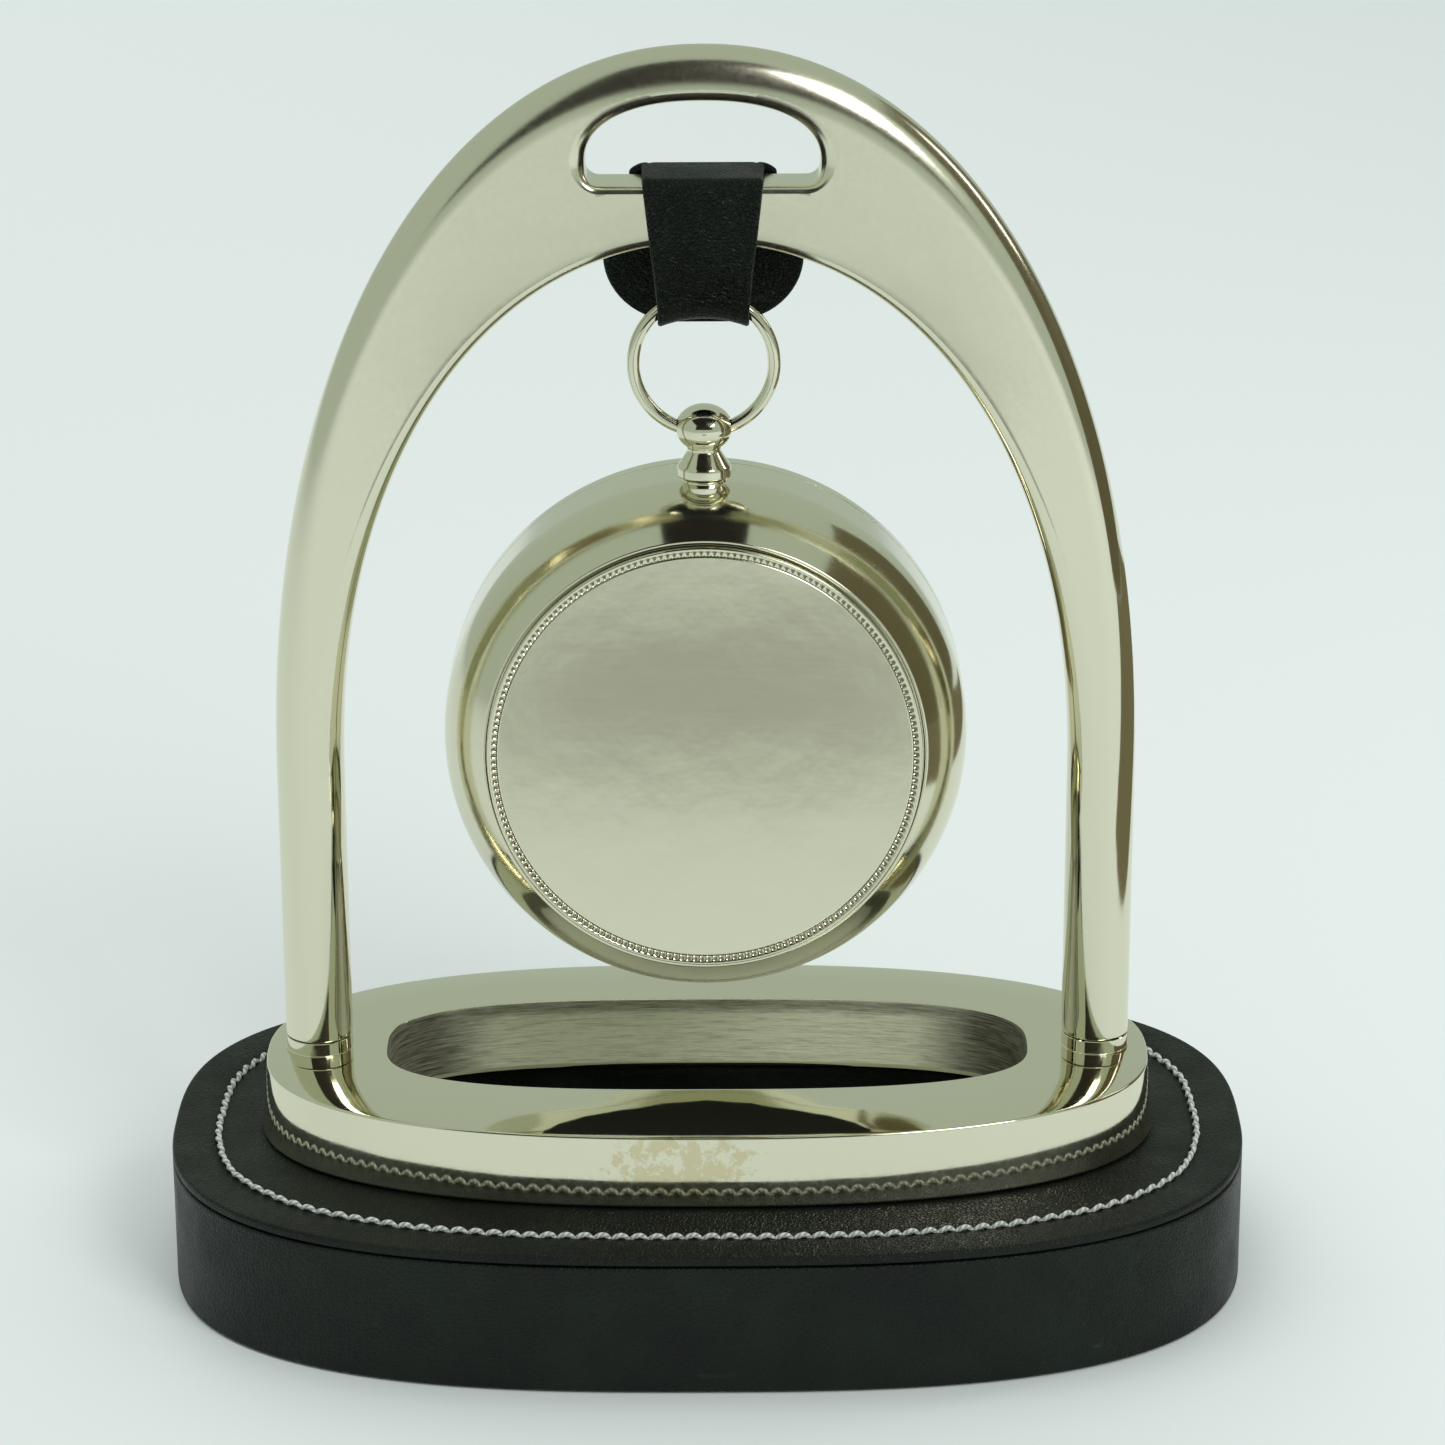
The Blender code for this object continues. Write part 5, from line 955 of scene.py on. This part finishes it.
def blade(along, half, low, thick, ridge):
    """Grid of a blade: half widths along its length, a flat underside and a ridge down its middle."""
    x = np.array([-1, -1, -0.92, 0, 0.92, 1, 1, 0])
    z = np.array([0, thick - 0.05, thick, thick + ridge, thick, thick - 0.05, 0, 0])
    shape = np.broadcast_shapes((len(along), 1), (1, 8))
    return np.stack([half[:, None] * x, np.broadcast_to(along[:, None], shape),
                     np.broadcast_to(low + z[None], shape)], -1)


def leaf(length, hub):
    """Half width of a leaf along its length: narrow at the hub, broadest at 0.62, pointed at the tip."""
    along = np.linspace(hub * 0.8, length, 40)
    share = along / length
    half = np.interp(share, [0, 0.2, 0.4, 0.62, 0.8, 0.95, 1.0], [1.0, 1.0, 1.5, 2.25, 1.35, 0.35, 0.12])
    half = np.convolve(np.pad(half, 2, "edge"), np.ones(5) / 5, "valid")
    return along, half


hand_paint = clouded("hand_paint", 0.32, 4.0, ("0f1012", "18191c"), gloss=(3.0, 0.28, 0.4))[0]
for name, node, body, length, bore, low, rest in (
        ("hour_blade", "hour_hand", "hours", 21.27, 3.1, 11.6, REST_HOUR),
        ("minute_blade", "minute_hand", "minutes", 30.27, 2.15, 12.5, REST_MINUTE)):
    hub = bore + 1.8
    along, half = leaf(length, hub)
    piece(name, swung(blade(along, half, low, 0.26, 0.12), rest), hand_paint, body, (node,),
          poles=(True, True), sharp=12)
    boss_line = eased([(bore, low), (hub, low), (hub, low + 0.3), (hub - 0.25, low + 0.4),
                       (bore + 0.5, low + 0.4), (bore, low + 0.4)], (0.05, 0.05, 0.05, 0.1, 0.05, 0.05), 4)
    piece(name + "_boss", swung(turned(boss_line, 72), rest), hand_paint, body, (),
          wrap=(True, True))

polished_steel = clouded("polished_steel", 0.16, 5.0, ("b8bcc0", "c6cacd"), 1.0, (1.0, 0.12, 0.22))[0]
along = np.concatenate([np.linspace(-9.5, -1.2, 8), np.linspace(1.2, 32.277, 24)])
half = np.interp(along, [-9.5, 0, 32.3], [0.6, 0.4, 0.16])
piece("second_needle", swung(blade(along, half, 14.1, 0.3, 0.06), REST_SECOND), polished_steel, "seconds",
      ("second_hand",), poles=(True, True), sharp=12)
weight = eased([(0, 14.1), (1.5, 14.1), (1.5, 14.45), (0, 14.45)], (0, 0.08, 0.12, 0), 4, False)
piece("second_weight", swung(turned(weight, 48) + (0, -7.6, 0), REST_SECOND), polished_steel, "seconds",
      (), poles=(True, True))
hub_line = eased([(1.2, 14.1), (2.1, 14.1), (2.1, 14.5), (1.2, 14.5)], (0.05, 0.08, 0.12, 0.1), 4)
piece("second_boss", swung(turned(hub_line, 48), REST_SECOND), polished_steel, "seconds", (),
      wrap=(True, True))


# Turned brass parts of the movement: the nut on the minute tube with a knurled edge, the hexagon nut
# that clamps the dial, and the arbors, tubes and wheels.
brass = clouded("turned_brass", 0.28, 2.0, ("c9a45a", "d8b974"), 1.0, (0.6, 0.2, 0.36))[0]
turn = np.arange(288) * FULL_TURN / 288
crest = 0.5 + 0.5 * np.cos(turn * 36)
nut = eased([(2.15, 13.2), (3.05, 13.2), (3.05, 13.8), (2.15, 13.8)], (0.06, 0.1, 0.12, 0.08), 4)
radius = nut[:, :1] - 0.09 * (nut[:, :1] > 2.9) * (1 - crest)
grid = on_drum(carried(radius, nut[:, 1:], turn))
piece("knurled_nut", grid, brass, "minutes", ("hand_nut",), wrap=(True, True), sharp=60)

# A hexagon's reach is apothem / cos(angle from the middle of its side), trimmed by the chamfer.
nut = np.array([(4.3, 9.7), (9.0, 9.7), (9.0, 10.9), (6.1, 11.1), (5.6, 11.3), (4.6, 11.3), (4.3, 11.1)])
hexagon = 5.54 / np.cos((turn + math.pi / 6) % (math.pi / 3) - math.pi / 6)
radius = np.minimum(nut[:, :1], hexagon)
grid = on_drum(carried(radius, nut[:, 1:], turn))
piece("hexagon_nut", grid, brass, "clock", ("bush_nut",), wrap=(True, True), sharp=25)
for node in ("second_arbor", "minute_tube", "hour_tube", "motion_wheel", "third_wheel"):
    dress(node, brass)


# Motor: laminated iron stator and magnet, plain steel; a coil of lacquered wire 0.1 mm thick, its turns
# drawn as a wave along the axis; a brown circuit board.
steel = clouded("zinc_plated_steel", 0.35, 3.0, ("b9bdc0", "cfd2d4"), 1.0, (1.5, 0.28, 0.45))[0]
copper, tree, shader, where = finish("lacquered_wire", 0.3, 1.0)
turns_of_wire = add(tree, "ShaderNodeTexWave", {"bands_direction": "X"},
                    {"Vector": where, "Scale": 3142.0, "Distortion": 0.4}).outputs["Fac"]
tree.links.new(blended(tree, turns_of_wire, "6e2f16", "c4713c"), shader.inputs["Base Color"])
raised(tree, shader, turns_of_wire, 0.04)
board, tree, shader, where = clouded("resin_board", 0.5, 1.5, ("5a4a26", "6e5c30"))
weave = add(tree, "ShaderNodeTexVoronoi", None, {"Vector": where, "Scale": 1600.0})
raised(tree, shader, weave.outputs["Distance"], 0.02)
for node in ("leg_screw_left", "leg_screw_right", "screw_washer_left", "screw_washer_right", "pendant_nut",
             "rotor", "stator", "battery_contact_left", "battery_contact_right"):
    dress(node, steel)
dress("coil", copper)
dress("circuit_board", board)
dress("strap_stud_socket", nickel)


# Movement box, its back and the setting knob: moulded black plastic with a fine spark-eroded texture.
plastic, tree, shader, where = clouded("moulded_black_plastic", 0.45, 8.0, ("141516", "1c1d1f"), detail=3.0)
raised(tree, shader, noise(tree, where, 5000.0, 4.0), 0.02)
for node in ("movement_case", "movement_back", "setting_knob"):
    dress(node, plastic)


# Battery: a drawn steel can in a printed sleeve, bare and rolled over at both ends, with a pressed nub.
# The sleeve is plain: grey with one broad band at the nub's end.
BATTERY_Y, BATTERY_Z, CAN_STEPS = -17.65, -0.5, 64
can = [(0, 24.5), (2.6, 24.5), (2.6, 23.3), (4.2, 23.3), (6.4, 23.6), (7.0, 23.3), (7.1, 22.6), (7.1, -23.6),
       (6.8, -24.2), (6.2, -24.3), (5.4, -24.0), (0, -24.5)]
can = eased(can, (0, 0.3, 0.2, 0.3, 0.3, 0.3, 0.3, 0.3, 0.2, 0.2, 0.3, 0), 5, False)
around_can = turned(can, CAN_STEPS)
grid = np.stack([around_can[..., 2], around_can[..., 0] + BATTERY_Y, around_can[..., 1] + BATTERY_Z], -1)
sleeve, tree, shader, where = finish("printed_sleeve", 0.3)
across = add(tree, "ShaderNodeSeparateXYZ", None, {"Vector": where})
band = spread(tree, across.outputs["X"], (0.0119, 0.0121), (0, 1))
tree.links.new(blended(tree, band, "4a4d52", "b5793d"), shader.inputs["Base Color"])
roughness_cloud(tree, shader, where, 2.0, 0.25, 0.38)
cell = piece("battery_can", on_drum(grid), steel, "clock", ("battery",), poles=(True, True),
             sharp=40)
cell.data.materials.append(sleeve)
middle = np.empty(len(cell.data.polygons) * 3)
cell.data.polygons.foreach_get("center", middle)
normal = np.empty(len(cell.data.polygons) * 3)
cell.data.polygons.foreach_get("normal", normal)
bare = (np.abs(middle[::3]) > 0.0233) | (np.abs(normal[::3]) > 0.7)
cell.data.polygons.foreach_set("material_index", (~bare).astype(np.int32))


# Press stud: a nickel-plated spring stud; its cap shows on the tongue, crowned, with a rolled rim.
cap = [(0, 8.7), (2.6, 8.62), (4.3, 8.3), (5.2, 7.6), (5.2, 7.0), (4.7, 6.9), (1.25, 6.9), (1.25, 2.2),
       (0, 2.2)]
cap = eased(cap, (0, 0.8, 0.6, 0.4, 0.25, 0.2, 0.1, 0.1, 0), 6, False)
around_cap = turned(cap, 72)
grid = np.stack([around_cap[..., 0], -around_cap[..., 2], STUD_Z + around_cap[..., 1]], -1)
piece("stud_cap", grid, nickel, "strap", ("strap_stud",), poles=(True, True), sharp=45)


# The table and the room: a pale matt table top under a pale world. Two wide lamps light the clock
# without showing in it; a lamp on the cover's side, a narrow window strip and seven sheets that only
# reflections see make what the metal shows.
def stage_finish(name, colour, roughness=1.0, sockets=None):
    """A finish of one plain colour."""
    material, tree, shader, where = finish(name, roughness, 0.0, sockets)
    shader.inputs["Base Color"].default_value = linear(colour)
    return material


def stage_piece(name, points, material, glossy_only=True):
    """A flat sheet that is not part of the clock, corners in metres."""
    mesh = bpy.data.meshes.new(name)
    mesh.from_pydata(points, [], [tuple(range(len(points)))])
    mesh.materials.append(material)
    obj = bpy.data.objects.new(name, mesh)
    bpy.context.scene.collection.objects.link(obj)
    if glossy_only:
        obj.visible_camera = obj.visible_diffuse = obj.visible_shadow = obj.visible_transmission = False


def level(x, y, height):
    """Corners of a level rectangle between two values of x and two of y."""
    return [(x[0], y[0], height), (x[1], y[0], height), (x[1], y[1], height), (x[0], y[1], height)]


matt = {"Specular IOR Level": 0.1}
table = stage_finish("pale_table", "dee5e2", 0.9, matt)
stage_piece("table_top", level((-3, 3), (-3, 3), 0), table, False)

# A dark room on the cover's side, from 0.42 m up.
dark = stage_finish("dark_room", "2a2420")
stage_piece("room_in_front", [(-0.9, 1.3, 0.42), (0.9, 1.3, 0.42), (0.9, 1.3, 2.9), (-0.9, 1.3, 2.9)], dark)

# A dark sheet level with the ring, and an upright black half oval between the drum and the tread.
stage_piece("flag_above", level((-0.0145, 0.0145), (0.006, 0.045), 0.163), dark)
turn = np.linspace(0, math.pi, 13)
half_oval = np.stack([0.029 * np.cos(turn), 0.0172 + 0 * turn, 0.0572 - 0.0165 * np.sin(turn)], -1)
stage_piece("flag_below", half_oval.tolist(), stage_finish("black_flag", "0c0b08"))

# A pale card on the leather in the tread's slot, and a grey mat on the table.
pale_card = stage_finish("pale_card", "b4b8a6", 0.9, matt)
stage_piece("card_in_slot", level((-0.054, 0.054), (-0.018, 0.018), 0.0252), pale_card)
grey = stage_finish("grey_mat", "8c8e86", 0.9, matt)
stage_piece("mat_in_front", level((-0.062, 0.062), (0.39, 0.6), 0.002), grey)

# A brown wall beyond the -X side and a brown mat at its foot.
brown = stage_finish("brown_wall", "6a6248")
stage_piece("room_right", [(-0.6, -0.7, 0.004), (-0.6, 0.2, 0.004), (-0.6, 0.2, 0.8), (-0.6, -0.7, 0.8)],
            brown)
stage_piece("mat_right", level((-0.6, -0.22), (-0.4, 0.12), 0.003), brown)

# The world shows reflections a darker, greener grey than the camera.
world = bpy.data.worlds.new("room")
bpy.context.scene.world = world
world.use_nodes = True
tree = world.node_tree
rays = add(tree, "ShaderNodeLightPath")
seen = blended(tree, rays.outputs["Is Glossy Ray"], "dbe0df", "c0cdc0")
tree.links.new(seen, tree.nodes["Background"].inputs["Color"])
tree.nodes["Background"].inputs["Strength"].default_value = 0.87


def lamp(name, place, target, size, power):
    """A rectangular area lamp at a place in metres, turned to its target."""
    light = bpy.data.lights.new(name, "AREA")
    light.shape, light.size, light.size_y, light.energy = "RECTANGLE", size[0], size[1], power
    obj = bpy.data.objects.new(name, light)
    bpy.context.scene.collection.objects.link(obj)
    obj.location = place
    aim = np.subtract(target, place)
    tilt = math.atan2(math.hypot(aim[0], aim[1]), -aim[2])
    obj.rotation_euler = (tilt, 0, math.atan2(aim[0], -aim[1]) + math.pi)
    return obj


overhead = lamp("overhead", (0.3, -0.4, 1.9), (0, -0.1, 0), (1.6, 1.2), 9)
overhead.visible_glossy = False
lamp("front", (-0.7, 1.0, 1.1), (0, 0, 0.08), (0.6, 0.6), 8)
fill = lamp("dial_side", (0.5, -1.3, 0.8), (0, 0, 0.1), (0.8, 0.8), 1.8)
fill.visible_glossy = False
lamp("window", (-0.58, -0.22, 0.38), (0, 0, 0.1), (0.07, 0.4), 0.35)

camera = bpy.data.cameras.new("camera")
camera.lens, camera.sensor_width = 124.57, 36
camera_object = bpy.data.objects.new("camera", camera)
bpy.context.scene.collection.objects.link(camera_object)
camera_object.location = (-0.00391, 0.780456, 0.384816)
camera_object.rotation_euler = tuple(map(math.radians, (69.69, 0.2063, -179.9964)))
bpy.context.scene.camera = camera_object
bpy.context.scene.view_settings.view_transform = "Standard"
